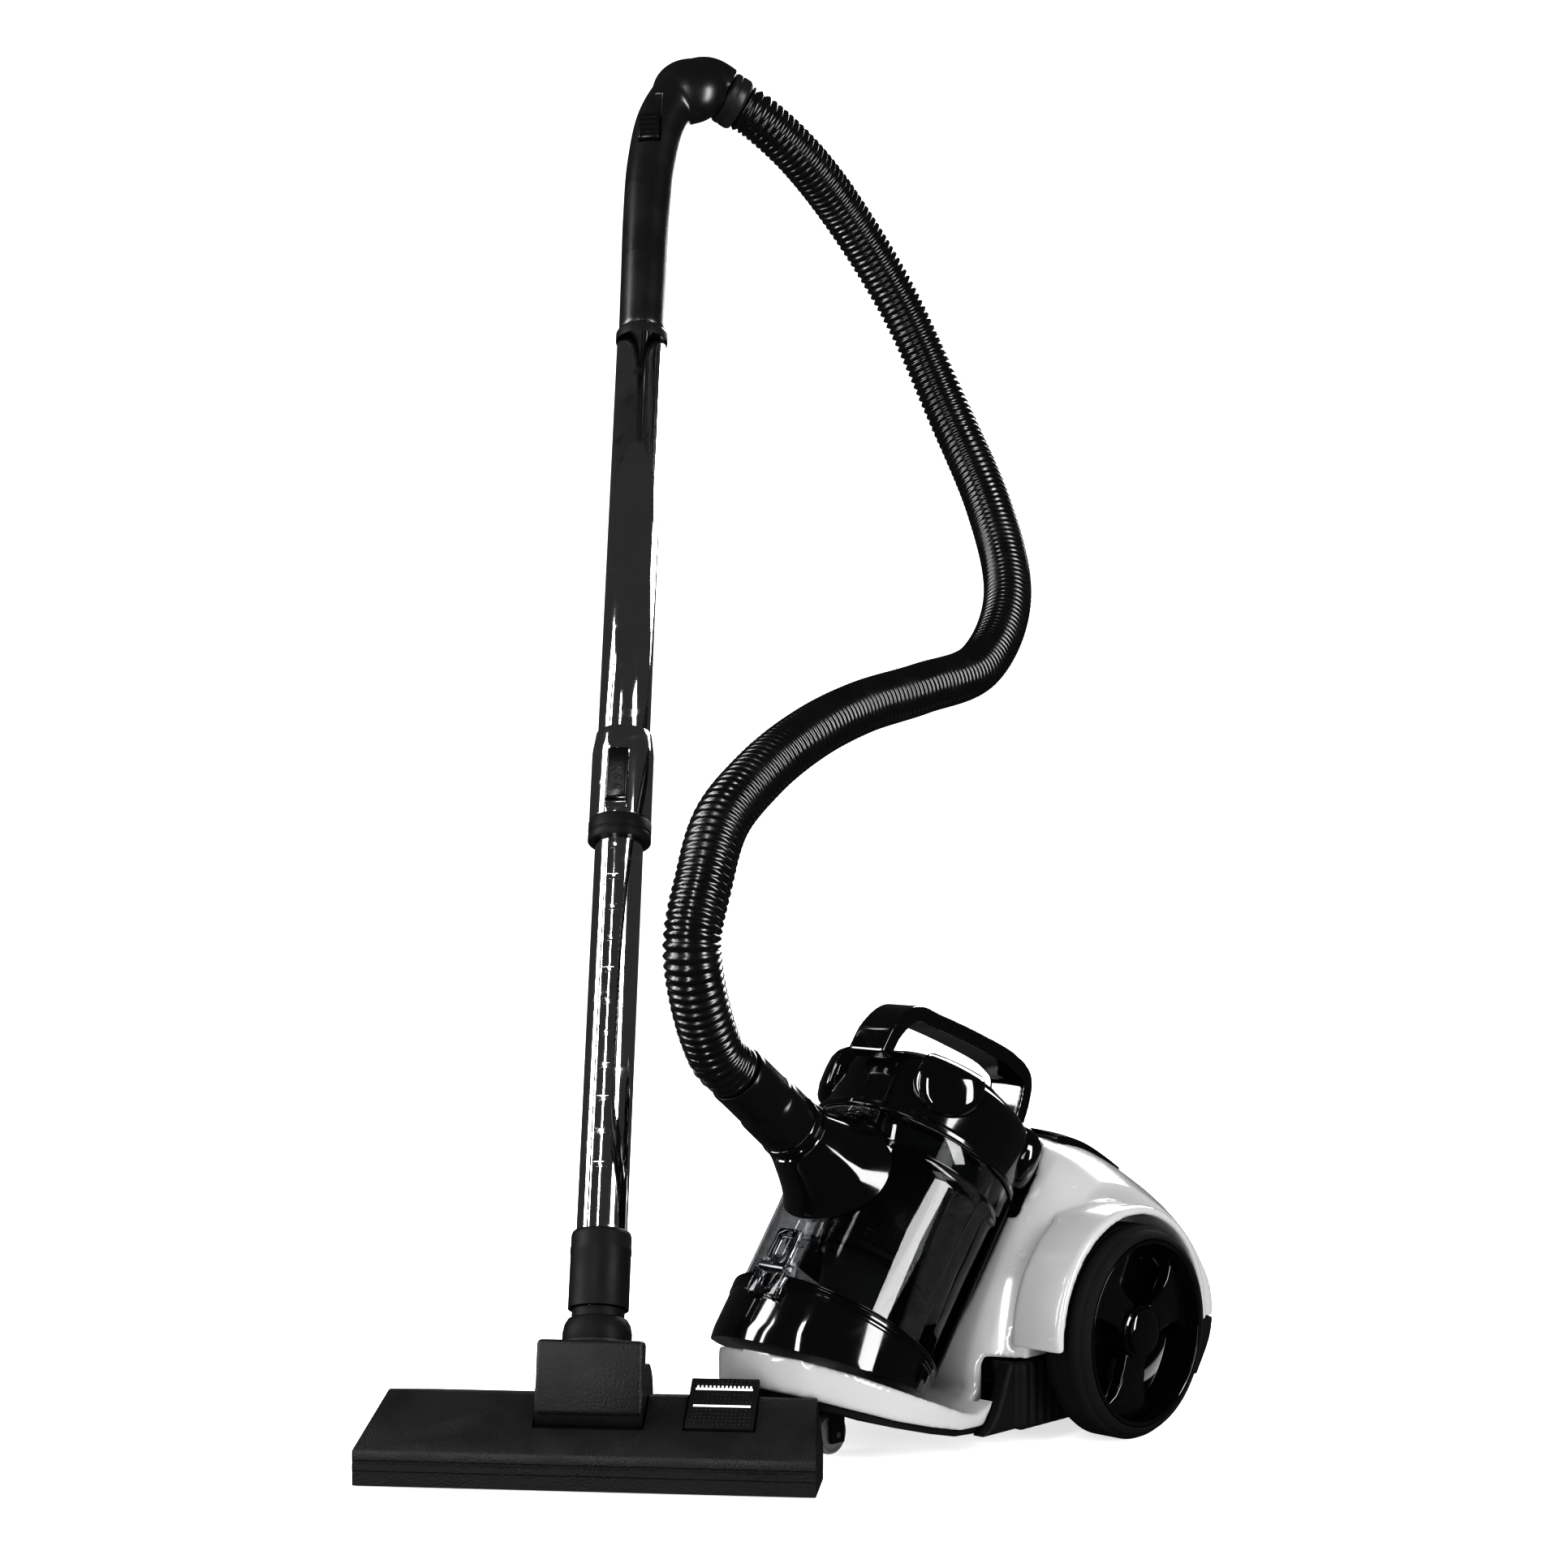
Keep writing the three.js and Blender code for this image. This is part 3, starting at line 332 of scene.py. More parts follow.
def plate(outline, thickness, corner=0.0):
    """An outline in the XY plane, raised by its thickness along Z."""
    solid = bmesh.new()
    base = solid.faces.new([solid.verts.new((x, y, 0)) for x, y in outline])
    raised = bmesh.ops.extrude_face_region(solid, geom=[base])["geom"]
    tops = [v for v in raised if isinstance(v, bmesh.types.BMVert)]
    bmesh.ops.translate(solid, verts=tops, vec=(0, 0, thickness))
    bmesh.ops.recalc_face_normals(solid, faces=solid.faces)
    if corner:
        rims = [e for e in solid.edges if abs(e.verts[0].co.z - e.verts[1].co.z) < 1e-6]
        bmesh.ops.bevel(solid, geom=rims, offset=corner, segments=3, profile=0.5, affect="EDGES",
                        material=-1)
    return solid


def smooth_line(points, per_span=8, closed=False):
    """A centripetal curve through the points, as a list of finely spaced points."""
    pts = [Vector(p) for p in points]
    if closed:
        pts = [pts[-1], *pts, pts[0], pts[1]]
    else:
        pts = [pts[0] * 2 - pts[1], *pts, pts[-1] * 2 - pts[-2]]
    line = []
    for a, b, c, d in zip(pts, pts[1:], pts[2:], pts[3:]):
        t0 = 0
        t1 = t0 + max((b - a).length, 1e-9) ** 0.5
        t2 = t1 + max((c - b).length, 1e-9) ** 0.5
        t3 = t2 + max((d - c).length, 1e-9) ** 0.5
        for i in range(per_span):
            t = t1 + (t2 - t1) * i / per_span
            ab = a.lerp(b, (t - t0) / (t1 - t0))
            bc = b.lerp(c, (t - t1) / (t2 - t1))
            cd = c.lerp(d, (t - t2) / (t3 - t2))
            line.append(ab.lerp(bc, (t - t0) / (t2 - t0)).lerp(bc.lerp(cd, (t - t1) / (t3 - t1)),
                                                               (t - t1) / (t2 - t1)))
    if not closed:
        line.append(pts[-2].copy())
    return line


# %% [markdown]
# The hose is a ribbed plastic tube about 1.2 m long. It leaves the bin's inlet, makes one big
# S in the air and comes back down to the handle's cuff.
# One ring is extruded again and again along the route. The ring swells at each rib and shrinks
# between them, four steps to a rib, which gives real ribs rather than a painted pattern.

# %% The hose's middle line
cuff_start = [HOSE_CUFF @ Vector((0, 0, z)) for z in (16.3, 30)]
air_route = [(-0.258, 0.084, 0.903), (-0.258, 0.139, 0.864), (-0.248, 0.193, 0.799),
             (-0.225, 0.220, 0.722), (-0.175, 0.212, 0.638), (-0.122, 0.168, 0.565),
             (-0.085, 0.090, 0.510), (-0.065, 0.000, 0.490), (-0.050, -0.080, 0.475),
             (-0.030, -0.155, 0.455), (-0.015, -0.215, 0.430), (-0.005, -0.260, 0.400),
             (0.005, -0.285, 0.365), (0.010, -0.300, 0.325)]
inlet_end = [INLET @ Vector((0, 0, z)) for z in (195, 173.3)]
axle_shift = Vector((axle_x, axle_y, 0))
hose_line = smooth_line(cuff_start + [Vector(p) + axle_shift for p in air_route] + inlet_end, 30)
hose_length = sum((b - a).length for a, b in zip(hose_line, hose_line[1:]))
print("hose length:", round(hose_length, 3), "m")


# %% A ring extruded along a line
def evenly(line, count):
    spans = [(b - a).length for a, b in zip(line, line[1:])]
    total, out, done, i = sum(spans), [], 0.0, 0
    for k in range(count):
        want = total * k / (count - 1)
        while i < len(spans) - 1 and done + spans[i] < want:
            done += spans[i]
            i += 1
        out.append(line[i].lerp(line[i + 1], min(1, (want - done) / spans[i])))
    return out


def tube_along(line, radius_at, sides=32, capped=True):
    """Extrudes one ring along the line; radius_at(i) is the ring's radius at point i."""
    solid = bmesh.new()
    ahead = [(line[min(i + 1, len(line) - 1)] - line[max(i - 1, 0)]).normalized() for i in range(len(line))]
    turn = Vector((0, 0, 1)).rotation_difference(ahead[0]).to_matrix().to_4x4()
    first = bmesh.ops.create_circle(solid, segments=sides, radius=1.0, cap_ends=capped)["verts"]
    unit = [v.co.copy() for v in first]
    place = Matrix.Translation(line[0]) @ turn
    for v, u in zip(first, unit):
        v.co = place @ (u * radius_at(0))
    loop = list(first)
    edges = [e for e in solid.edges]
    for i in range(1, len(line)):
        turn = ahead[i - 1].rotation_difference(ahead[i]).to_matrix().to_4x4() @ turn
        place = Matrix.Translation(line[i]) @ turn
        raised = bmesh.ops.extrude_edge_only(solid, edges=edges)["geom"]
        new = [g for g in raised if isinstance(g, bmesh.types.BMVert)]
        edges = [g for g in raised if isinstance(g, bmesh.types.BMEdge)]
        old = {v: u for v, u in zip(loop, unit)}
        order = []
        for v in new:
            before = next(e.other_vert(v) for e in v.link_edges if e.other_vert(v) in old)
            order.append((v, old[before]))
        for v, u in order:
            v.co = place @ (u * radius_at(i))
        loop, unit = [v for v, _ in order], [u for _, u in order]
    if capped:
        solid.faces.new(sorted(loop, key=lambda v: math.atan2(unit[loop.index(v)].y,
                                                              unit[loop.index(v)].x)))
    bmesh.ops.recalc_face_normals(solid, faces=solid.faces)
    return solid


# %% The ribbed hose
RIB_PITCH = 0.0053
RIB_RADII = (0.0154, 0.0170, 0.0180, 0.0170)
rib_count = round(hose_length / RIB_PITCH)
rib_line = evenly(hose_line, 4 * rib_count + 1)
hose_solid = tube_along(rib_line, lambda i: RIB_RADII[i % 4], 28)
hose = piece_of("ribbed_hose", hose_solid, "canister", RIBBED, edge=0)
hose.parent = None
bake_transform(hose)
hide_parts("hose")
[tuple(p) for p in evenly(hose_line, 160)]
print("ribs:", rib_count)

# %% [markdown]
# The two big wheels have a matt rubber tyre in steps, round a deep gloss dish with three wide spokes.
# The tyre and the dish are turned. Each spoke starts as a flat outline that flares at the rim.

# %% Tyres, dishes, spokes and hub caps
TREAD = [(60.3, 94.4), (64, 94), (67.6, 96), (69, 99), (69, 104), (68.2, 104.6), (68.2, 105.6),
         (69, 106.2), (69, 112), (68.2, 112.6), (68.2, 113.6), (69, 114.2), (69, 118.5), (68, 121),
         (66.2, 122.4), (65.6, 124.4), (64.2, 126), (62.6, 127.2), (61.2, 127.8), (60.3, 127),
         (60.3, 94.4)]


def spoke(turn_to):
    sides = [(11, 15), (11.2, 24), (12.8, 33), (16.4, 41.6), (22.4, 47.6), (28, 48.8), (20, 52.4),
             (10, 55.2)]
    outline = sides + [(0, 56.2)] + [(-x, y) for x, y in reversed(sides)]
    solid = plate(outline, 9, 1.6)
    for v in solid.verts:
        v.co.z += 113.5 - 0.075 * math.hypot(v.co.x, v.co.y)
    solid.transform(turned(math.degrees(turn_to), "Z"))
    return solid


for side, name in ((1, "left"), (-1, "right")):
    hub_frame = CANISTER @ shifted(0, 0, 69) @ turned(90 * side, "Y")
    body = "wheel_" + name
    piece_of("tyre_tread_" + name, lathe(TREAD, 128), body, TYRE, "tyre_" + name, 0.2, hub_frame)
    dish = lathe([(57, 127), (57.6, 127.6), (59.4, 127.6), (60, 126.6), (60, 94.5), (57, 94.5), (57, 99),
                  (48, 97.5), (30, 97), (8, 98), (8, 101), (6.4, 101), (6.4, 122.5), (14.6, 122.5),
                  (16.6, 121.2), (17.4, 112), (19, 103), (30, 100.5), (48, 101), (55.6, 103.5),
                  (57, 127)], 128)
    piece_of("wheel_dish_" + name, dish, body, PIANO, "wheel_hub_" + name, 0.3, hub_frame)
    for number in range(3):
        piece_of(f"spoke_{name}_{number + 1}", spoke(0.35 + number * math.tau / 3), body, PIANO, (), 0.8,
                 hub_frame)
    cap = lathe([(0, 122.8), (15.2, 122.8), (15.6, 123.4), (15.6, 125.6), (14.8, 126.4), (12, 127.3),
                 (8, 128), (4, 128.4), (0, 128.5)], 64)
    piece_of("hub_cover_" + name, cap, body, PIANO, "hub_cap_" + name, 0.2, hub_frame)
print("wheels done")

# %% [markdown]
# The white shell is one moulding: a low tongue under the bin, a saddle that sweeps up behind it,
# a round rear dome, and raised rims over the wheels. Moulded plastic has no hard corners inside.
# The rough volumes are extruded and carved from each other, then remeshed finely and relaxed,
# which melts the joins into soft fillets as a mould would.

# %% Carving and softening
def solid_object(solid, where=None):
    if where is not None:
        solid.transform(where)
    mesh = bpy.data.meshes.new("rough")
    solid.to_mesh(mesh)
    solid.free()
    made = bpy.data.objects.new("rough", mesh)
    bpy.context.scene.collection.objects.link(made)
    return made


def settle(obj):
    """Applies an object's modifiers to its mesh."""
    bpy.context.view_layer.update()
    mesh = bpy.data.meshes.new_from_object(obj.evaluated_get(bpy.context.evaluated_depsgraph_get()))
    obj.modifiers.clear()
    obj.data = mesh
    return obj


def carve(obj, tool, how="DIFFERENCE"):
    cut = obj.modifiers.new("carve", "BOOLEAN")
    cut.operation = how
    cut.solver = "EXACT"
    cut.object = tool
    settle(obj)
    bpy.data.objects.remove(tool)
    return obj


def soften(obj, grain, rounds, factor=0.5):
    """Remeshes at the given grain in metres, then relaxes; overlapping shells become one skin."""
    remesh = obj.modifiers.new("fine_skin", "REMESH")
    remesh.mode = "VOXEL"
    remesh.voxel_size = grain
    relax = obj.modifiers.new("relax", "SMOOTH")
    relax.iterations = rounds
    relax.factor = factor
    return settle(obj)


def rod(r, z0, z1, where=None, steps=96):
    solid = lathe([(0, z0), (r, z0), (r, z1), (0, z1)], steps)
    if where is not None:
        solid.transform(where)
    return solid


def as_bmesh(obj):
    solid = bmesh.new()
    solid.from_mesh(obj.data)
    bpy.data.objects.remove(obj)
    return solid


# %% The rear dome
DOME = [(-93, 20), (-96, 46), (-84, 92), (-62, 130), (-36, 165), (-6, 186), (38, 183), (80, 164),
        (116, 140), (139, 115), (157, 84), (156, 50), (136, 18)]


def side_slab(points, x0, x1, slices=1):
    """An outline of (y, z) points, extruded across the machine from x0 to x1."""
    solid = bmesh.new()
    ring = [solid.verts.new((x0, y, z)) for y, z in points]
    face = solid.faces.new(ring)
    geometry = [face]
    for _ in range(slices):
        raised = bmesh.ops.extrude_face_region(solid, geom=geometry)["geom"]
        bmesh.ops.translate(solid, verts=[g for g in raised if isinstance(g, bmesh.types.BMVert)],
                            vec=((x1 - x0) / slices, 0, 0))
        lost = [g for g in geometry if g.is_valid and g is not face]
        geometry = [g for g in raised if isinstance(g, bmesh.types.BMFace)]
        bmesh.ops.delete(solid, geom=lost, context="FACES_ONLY")
    bmesh.ops.recalc_face_normals(solid, faces=solid.faces)
    return solid


def dome(inset):
    """The dome's sides draw in towards its flanks."""
    line = [p.xy for p in smooth_line([(y, z, 0) for y, z in DOME], 8)]
    middle = Vector((35, 80))
    points = [p - (p - middle).normalized() * inset for p in line]
    solid = side_slab(points, inset - 84, 84 - inset, 24)
    for v in solid.verts:
        share = 1 - 0.17 * min(1, abs(v.co.x) / 84) ** 2.6
        v.co.y = 30 + (v.co.y - 30) * share
        v.co.z = 20 + (v.co.z - 20) * share
    return solid


def tongue_plan(inset):
    """The tongue's rounded outline seen from above."""
    half = [(78, -60), (76, -130), (73, -158), (66, -186), (54, -210), (38, -226), (18, -233), (0, -234)]
    points = half + [(-x, y) for x, y in reversed(half[:-1])]
    return [(x * (1 - inset / 78), y + inset * 0.8 * (y < -100)) for x, y in points]


def tongue():
    line = [p.xy for p in smooth_line([(x, y, 0) for x, y in tongue_plan(0)], 5)]
    column = solid_object(plate(line, 200))
    belly = [(-244, 55), (-205, 41), (-176, 31), (-150, 24), (-128, 19), (-108, 18), (-60, 20)]
    back = [(-60, 60), (-98, 30), (-110, 27), (-122, 29), (-160, 44), (-200, 61), (-240, 77)]
    return carve(column, solid_object(side_slab(belly + back, -90, 90)), "INTERSECT")


# %% The white shell
BIN_MM = shifted(0, -163, 76) @ turned(-37, "X")
UNDER_CUP = shifted(0, -177, 55.5) @ turned(-22.4, "X")


def wheel_frame(side):
    return shifted(0, 0, 69) @ turned(90 * side, "Y")


def arch(side):
    hoop = solid_object(lathe([(75, 78), (81, 78), (81, 116), (79.6, 118), (75, 118), (75, 78)], 128),
                        wheel_frame(side))
    carve(hoop, solid_object(block(-200, -200, -50, 200, 200, 65)))
    return carve(hoop, solid_object(block(-200, 60, -50, 200, 200, 300), turned(-22, "X")))


# The side edge between the shell and the black flank, as (y, z), from the floor up to the wheel arch.
FLANK = [(-80, -20), (-118, -20), (-113, 13), (-104, 19), (-97, 28), (-92, 39), (-88, 49), (-84.6, 56),
         (-80, 56)]


def white_shell():
    shell = solid_object(dome(0))
    carve(shell, tongue(), "UNION")
    for side in (1, -1):
        carve(shell, arch(side), "UNION")
    hollow = solid_object(dome(3))
    carve(hollow, solid_object(rod(75.5, -20, 400, BIN_MM)))
    carve(hollow, solid_object(block(-100, -140, -20, 100, -83, 60)))
    carve(shell, hollow)
    bed = solid_object(rod(72.5, -60, 400, BIN_MM))
    carve(bed, solid_object(block(-160, -260, -200, 160, 200, -2.5), UNDER_CUP))
    carve(shell, bed)
    carve(shell, solid_object(rod(77.5, 123.6, 400, BIN_MM)))
    carve(shell, solid_object(block(-200, -83, -20, 200, 300, 56)))
    for side in (1, -1):
        carve(shell, solid_object(side_slab(FLANK, side * 58, side * 120)))
    for side in (1, -1):
        carve(shell, solid_object(rod(75, 86, 140, wheel_frame(side))))
        carve(shell, solid_object(rod(6.3, 60, 100, wheel_frame(side))))
    carve(shell, solid_object(block(-37.8, 21.2, 100, 37.8, 92.8, 300)))
    carve(shell, solid_object(block(-34.5, 96.5, 61.5, 34.5, 300, 300)))
    carve(shell, solid_object(rod(33, -10, 30, shifted(0, -185, 0))))
    shell.data.transform(CANISTER)
    return as_bmesh(soften(shell, 0.0019, 7))


shell = piece_of("white_shell", white_shell(), "canister", WHITE, "body_shell", 0)
print("shell faces:", len(shell.data.polygons))

# %% [markdown]
# The black chassis closes the shell from below. On each flank it has a ribbed duct,
# like a soft bellows, between the tongue and the wheel.

# %% The chassis and its ribbed flanks
def chassis():
    tub = solid_object(dome(0))
    carve(tub, solid_object(block(-200, -82.6, 12, 200, 300, 55.6)), "INTERSECT")
    for side in (1, -1):
        carve(tub, solid_object(block(side * 80 - 4, -77, 12, side * 80 + 4, -6, 55.5)), "UNION")
        front = [(y + 0.5, max(13, z - 0.5)) for y, z in FLANK]
        carve(tub, solid_object(side_slab(front, side * 72, side * 82)), "UNION")
        for rib in range(8):
            bead = lathe([(0, 12.6), (3.6, 12.6), (4.9, 14.4), (5, 20), (5, 50), (4.6, 54), (3.4, 55.4),
                          (0, 55.4)], 24)
            carve(tub, solid_object(bead, shifted(side * 81.6, -74 + 8.5 * rib, 0)), "UNION")
    inner = solid_object(dome(3))
    carve(inner, solid_object(block(-200, -200, 15, 200, 300, 300)), "INTERSECT")
    carve(tub, inner)
    carve(tub, solid_object(rod(72.8, -20, 400, BIN_MM)))
    cradle = solid_object(block(-26, -12, 13, 26, 38, 54))
    carve(cradle, solid_object(rod(40, -90, 90, shifted(0, 0, 82) @ turned(90, "X"))))
    carve(tub, cradle, "UNION")
    carve(tub, solid_object(rod(7.3, 120, 200, shifted(46, 0, 36) @ turned(-90, "X"))))
    tub.data.transform(CANISTER)
    return as_bmesh(soften(tub, 0.0012, 3))


piece_of("black_chassis", chassis(), "canister", MATT, "lower_chassis", 0)


def under_plate():
    line = [p.xy for p in smooth_line([(x, y, 0) for x, y in tongue_plan(4.5)], 5)]
    line = [p for p in line if p.y < -84]
    column = solid_object(plate(line, 90))
    belly = [(-244, 55), (-205, 41), (-176, 31), (-150, 24), (-128, 19), (-108, 18), (-60, 20)]
    band = [(y, z - 0.3) for y, z in belly] + [(y, z - 4.3) for y, z in reversed(belly)]
    carve(column, solid_object(side_slab(band, -90, 90)), "INTERSECT")
    carve(column, solid_object(rod(33, -10, 60, shifted(0, -185, 0))))
    return as_bmesh(column)


piece_of("tongue_underside", under_plate(), "canister", MATT, "tongue_plate", 0.6, CANISTER)

# %% [markdown]
# Two gloss pedals lie side by side on the dome: one starts the motor and one rewinds the lead.
# Behind them a matt cover with slots lets the clean air out. All three follow the dome's own curve,
# so they are cut from the same skin.

# %% Pedals and the exhaust cover
def skin_piece(lift, *cuts):
    skin = solid_object(dome(-lift))
    carve(skin, solid_object(dome(3)))
    for low, high in cuts:
        carve(skin, solid_object(block(*low, *high)), "INTERSECT")
    return skin


for name, x0, x1 in (("power", 0.5, 37), ("rewind", -37, -0.5)):
    pedal = skin_piece(4.5, ((x0, 22, 100), (x1, 92, 300)))
    for groove in range(4):
        line_y = 66 + 5 * groove
        surface = 170.5 - 0.52 * (line_y - 66)
        carve(pedal, solid_object(block(x0 + 8, line_y, surface, x1 - 8, line_y + 1.4, 300)))
    piece_of(name + "_pedal_cover", as_bmesh(pedal), name + "_pedal", PIANO, name + "_pedal", 0.7, CANISTER)

grille = skin_piece(4, ((-34, 97, 100), (34, 300, 300)))
carve(grille, skin_piece(-0.6, ((-34, 97, 62), (34, 300, 104))), "UNION")
for number in range(9):
    carve(grille, solid_object(block(-27, 60, 72 + 6 * number, 27, 220, 74.6 + 6 * number)))
piece_of("exhaust_grille", as_bmesh(grille), "exhaust_door", MATT, "exhaust_cover", 0.5, CANISTER)
print("shell group done")

# %% [markdown]
# Under the tongue a small caster steers the machine: a fork with a stem, and a grey roller.

# %% The caster
fork = solid_object(block(-11, -197, 27.2, 11, -160, 29.4, 1.0))
carve(fork, solid_object(rod(5, 28, 43, shifted(0, -185, 0))), "UNION")
for side in (-1, 1):
    carve(fork, solid_object(block(side * 8.9 - 1.5, -175, 8, side * 8.9 + 1.5, -163, 28.4, 0.6)), "UNION")
carve(fork, solid_object(rod(2.3, -20, 20, shifted(0, -169, 13) @ turned(90, "Y"), 32)))
piece_of("caster_yoke", as_bmesh(fork), "caster_swivel", MATT, "caster_fork", 0.3, CANISTER)
roller = lathe([(2.5, -6), (8, -6), (9.6, -5), (11.4, -6), (12.6, -5.2), (13, -3.6), (13, 3.6),
                (12.6, 5.2), (11.4, 6), (9.6, 5), (8, 6), (2.5, 6), (2.5, -6)], 48)
piece_of("caster_roller", roller, "caster_roll", GREY, "caster_wheel", 0.2,
         CANISTER @ shifted(0, -169, 13) @ turned(90, "Y"))

# %% [markdown]
# The dust bin is a smoked tube with a stepped ring near its top, so its wall has two surfaces.
# Drawing both sides of the wall lets the light bend through it as it does in the real bin.

# %% The bin's wall, its seam rings and the frame strip behind it
bin_wall = lathe([(63.5, 1.3), (66, 1.3), (66.2, 60), (67.0, 99), (67.4, 102), (68.4, 103.6), (68.6, 105),
                  (68.6, 108), (68.0, 109), (68.0, 110), (68.6, 111), (68.6, 126), (66, 126), (65.8, 104),
                  (64.4, 99), (63.5, 1.3)], 160)
piece_of("smoked_bin", bin_wall, "canister", SMOKED, "bin_shell", 0.25, BIN)
for name, height in (("lower", -0.2), ("upper", 1.5)):
    seam = lathe([(66.4, height), (70.0, height), (70.5, height + 0.35), (70.5, height + 0.75),
                  (70.0, height + 1.1), (66.4, height + 1.1), (66.4, height)], 128)
    piece_of("cup_seam_" + name, seam, "canister", PIANO, (), 0, BIN)
strip = solid_object(lathe([(69, 2), (71, 2), (71, 123), (69, 123), (69, 2)], 128))
carve(strip, solid_object(block(-120, 38, -20, 120, 120, 200)), "INTERSECT")
piece_of("bin_frame_strip", as_bmesh(strip), "canister", MATT, "bin_back_frame", 0.5, BIN)


# %% [markdown]
# The cup under the bin is a gloss bowl with a flat foot, cut on the slope of the tongue.

# %% The bin's cup
def cup():
    bowl = lathe([(0, -60), (58, -60), (63, -55), (66.5, -45), (68.8, -36), (69.5, -30), (69.5, -5.5),
                  (70.3, -4.6), (70.3, -3.6), (69.6, -2.8), (70.3, -2.0), (70.3, -0.6), (66, -0.5),
                  (66, -5.6), (0, -5.6)], 160)
    slope = BIN_MM.inverted() @ UNDER_CUP
    cut = bmesh.ops.bisect_plane(bowl, geom=list(bowl.verts) + list(bowl.edges) + list(bowl.faces),
                                 plane_co=slope @ Vector((0, 0, 0)),
                                 plane_no=slope.to_3x3() @ Vector((0, 0, 1)), clear_inner=True)
    edge = [g for g in cut["geom_cut"] if isinstance(g, bmesh.types.BMEdge)]
    bmesh.ops.holes_fill(bowl, edges=edge)
    bmesh.ops.recalc_face_normals(bowl, faces=bowl.faces)
    return bowl


piece_of("bin_bowl", cup(), "canister", PIANO, "bin_cup", 0.9, BIN)

# %% [markdown]
# Inside the bin stands the cyclone: a finely perforated basket, a flared skirt and a pale inner cone.
# The basket's holes are drawn by a node pattern that follows the basket's own round coordinates.
# Cutting thousands of holes would cost far more faces than they are worth behind smoked plastic.

# %% The perforated basket
def perforated_finish():
    material = finish_of("perforated_black", (0.05, 0.05, 0.052), (0.25, 0.4))
    tree = material.node_tree
    shader = tree.nodes["Principled BSDF"]
    chart = tree.nodes.new("ShaderNodeUVMap")
    chart.uv_map = "basket"
    grid = tree.nodes.new("ShaderNodeTexVoronoi")
    grid.voronoi_dimensions = "2D"
    grid.inputs["Scale"].default_value = 1.0
    grid.inputs["Randomness"].default_value = 0.0
    tree.links.new(chart.outputs["UV"], grid.inputs["Vector"])
    hole = tree.nodes.new("ShaderNodeMath")
    hole.operation = "GREATER_THAN"
    hole.inputs[1].default_value = 0.30
    tree.links.new(grid.outputs["Distance"], hole.inputs[0])
    tree.links.new(hole.outputs["Value"], shader.inputs["Alpha"])
    return material


PERFORATED = perforated_finish()
basket = lathe([(30.5, 52.5), (31.5, 52), (33, 54), (33, 118), (30.5, 118), (30.5, 52.5)], 96)
chart = basket.loops.layers.uv.new("basket")
for face in basket.faces:
    start = math.atan2(face.calc_center_median().y, face.calc_center_median().x)
    for corner in face.loops:
        co = corner.vert.co
        angle = math.atan2(co.y, co.x)
        angle += math.tau * round((start - angle) / math.tau)
        corner[chart].uv = (angle / math.tau * 70, co.z / 2.9)
piece_of("cyclone_basket", basket, "canister", PERFORATED, "cyclone_shroud", 0, BIN)
skirt = lathe([(29, 44.4), (34, 44), (42, 41.5), (50, 38), (51, 38.4), (51, 40), (42, 44.4), (35, 47),
               (29, 47), (29, 44.4)], 96)
piece_of("cyclone_skirt", skirt, "canister", MATT, "shroud_skirt", 0.2, BIN)
cone = lathe([(12, 2), (14, 2), (20, 22), (28, 51.6), (28, 116), (26, 116), (26, 52), (12, 2)], 72)
piece_of("inner_cone", cone, "canister", GREY, "cyclone_cone", 0.3, BIN)

# %% [markdown]
# The cap is the machine's lid: a turned black crown over a skirt ring, with four raised finger grips.
# Each grip is a shallow turned dome that lies on the crown's side and is trimmed at its top.

# %% The cap and its four grips
crown = lathe([(0, 160), (56, 160), (56, 126.8), (70, 126.6), (71, 127.4), (71, 130.2), (70.2, 131),
               (69.4, 131.6), (69, 133), (69, 160), (68.4, 164), (66.6, 168.4), (63, 172), (57, 175.6),
               (47, 181.8), (40, 184.6), (25, 187), (0, 188)], 160)
piece_of("bin_crown", crown, "canister", PIANO, "bin_cap", 0.3, BIN)
for number, angle in enumerate((45, 135, 225, 315)):
    lobe = solid_object(lathe([(0, 40), (23.5, 40), (23.5, 67), (22.9, 69.4), (21.4, 71.8), (18.4, 74),
                               (11, 76), (0, 76.6)], 72),
                        shifted(0, 0, 160) @ turned(angle, "Z") @ turned(90, "X"))
    carve(lobe, solid_object(lathe([(54, 132.6), (77, 132.6), (77, 164), (75.4, 168.6), (71, 173),
                                    (64, 177), (54, 181), (54, 132.6)], 96)), "INTERSECT")
    piece_of(f"cap_grip_{number + 1}", as_bmesh(lobe), "canister", PIANO, (), 0.9, BIN)

# %% [markdown]
# The carrying handle is a broad strap that rises from the cap's front and comes down behind it.
# Its side outline is a smooth line given a thickness, extruded to the strap's width and bevelled.

# %% The carrying handle and its release button
STRAP = [(-77, 160), (-76, 180), (-66, 199), (-44, 207), (-5, 219), (38, 229), (56, 227), (63, 214),
         (66, 199), (70, 184)]
strap_line = [p.xy for p in smooth_line([(y, z, 0) for y, z in STRAP], 8)]
upper_side, lower_side = [], []
for i, point in enumerate(strap_line):
    ahead = (strap_line[min(i + 1, len(strap_line) - 1)] - strap_line[max(i - 1, 0)]).normalized()
    across = Vector((-ahead.y, ahead.x)) * 5.1
    upper_side.append(point + across)
    lower_side.append(point - across)
strap = side_slab(upper_side + lower_side[::-1], -15, 15)
strap = soften(solid_object(strap), 1.1, 6)
carve(strap, solid_object(lathe([(0, 100), (69.4, 100), (69.4, 163), (65.6, 171.3), (47.4, 182.4),
                                 (25, 187.4), (0, 188.4)], 96)))
carve(strap, solid_object(block(-9.5, 42, 228, 9.5, 68, 260)))
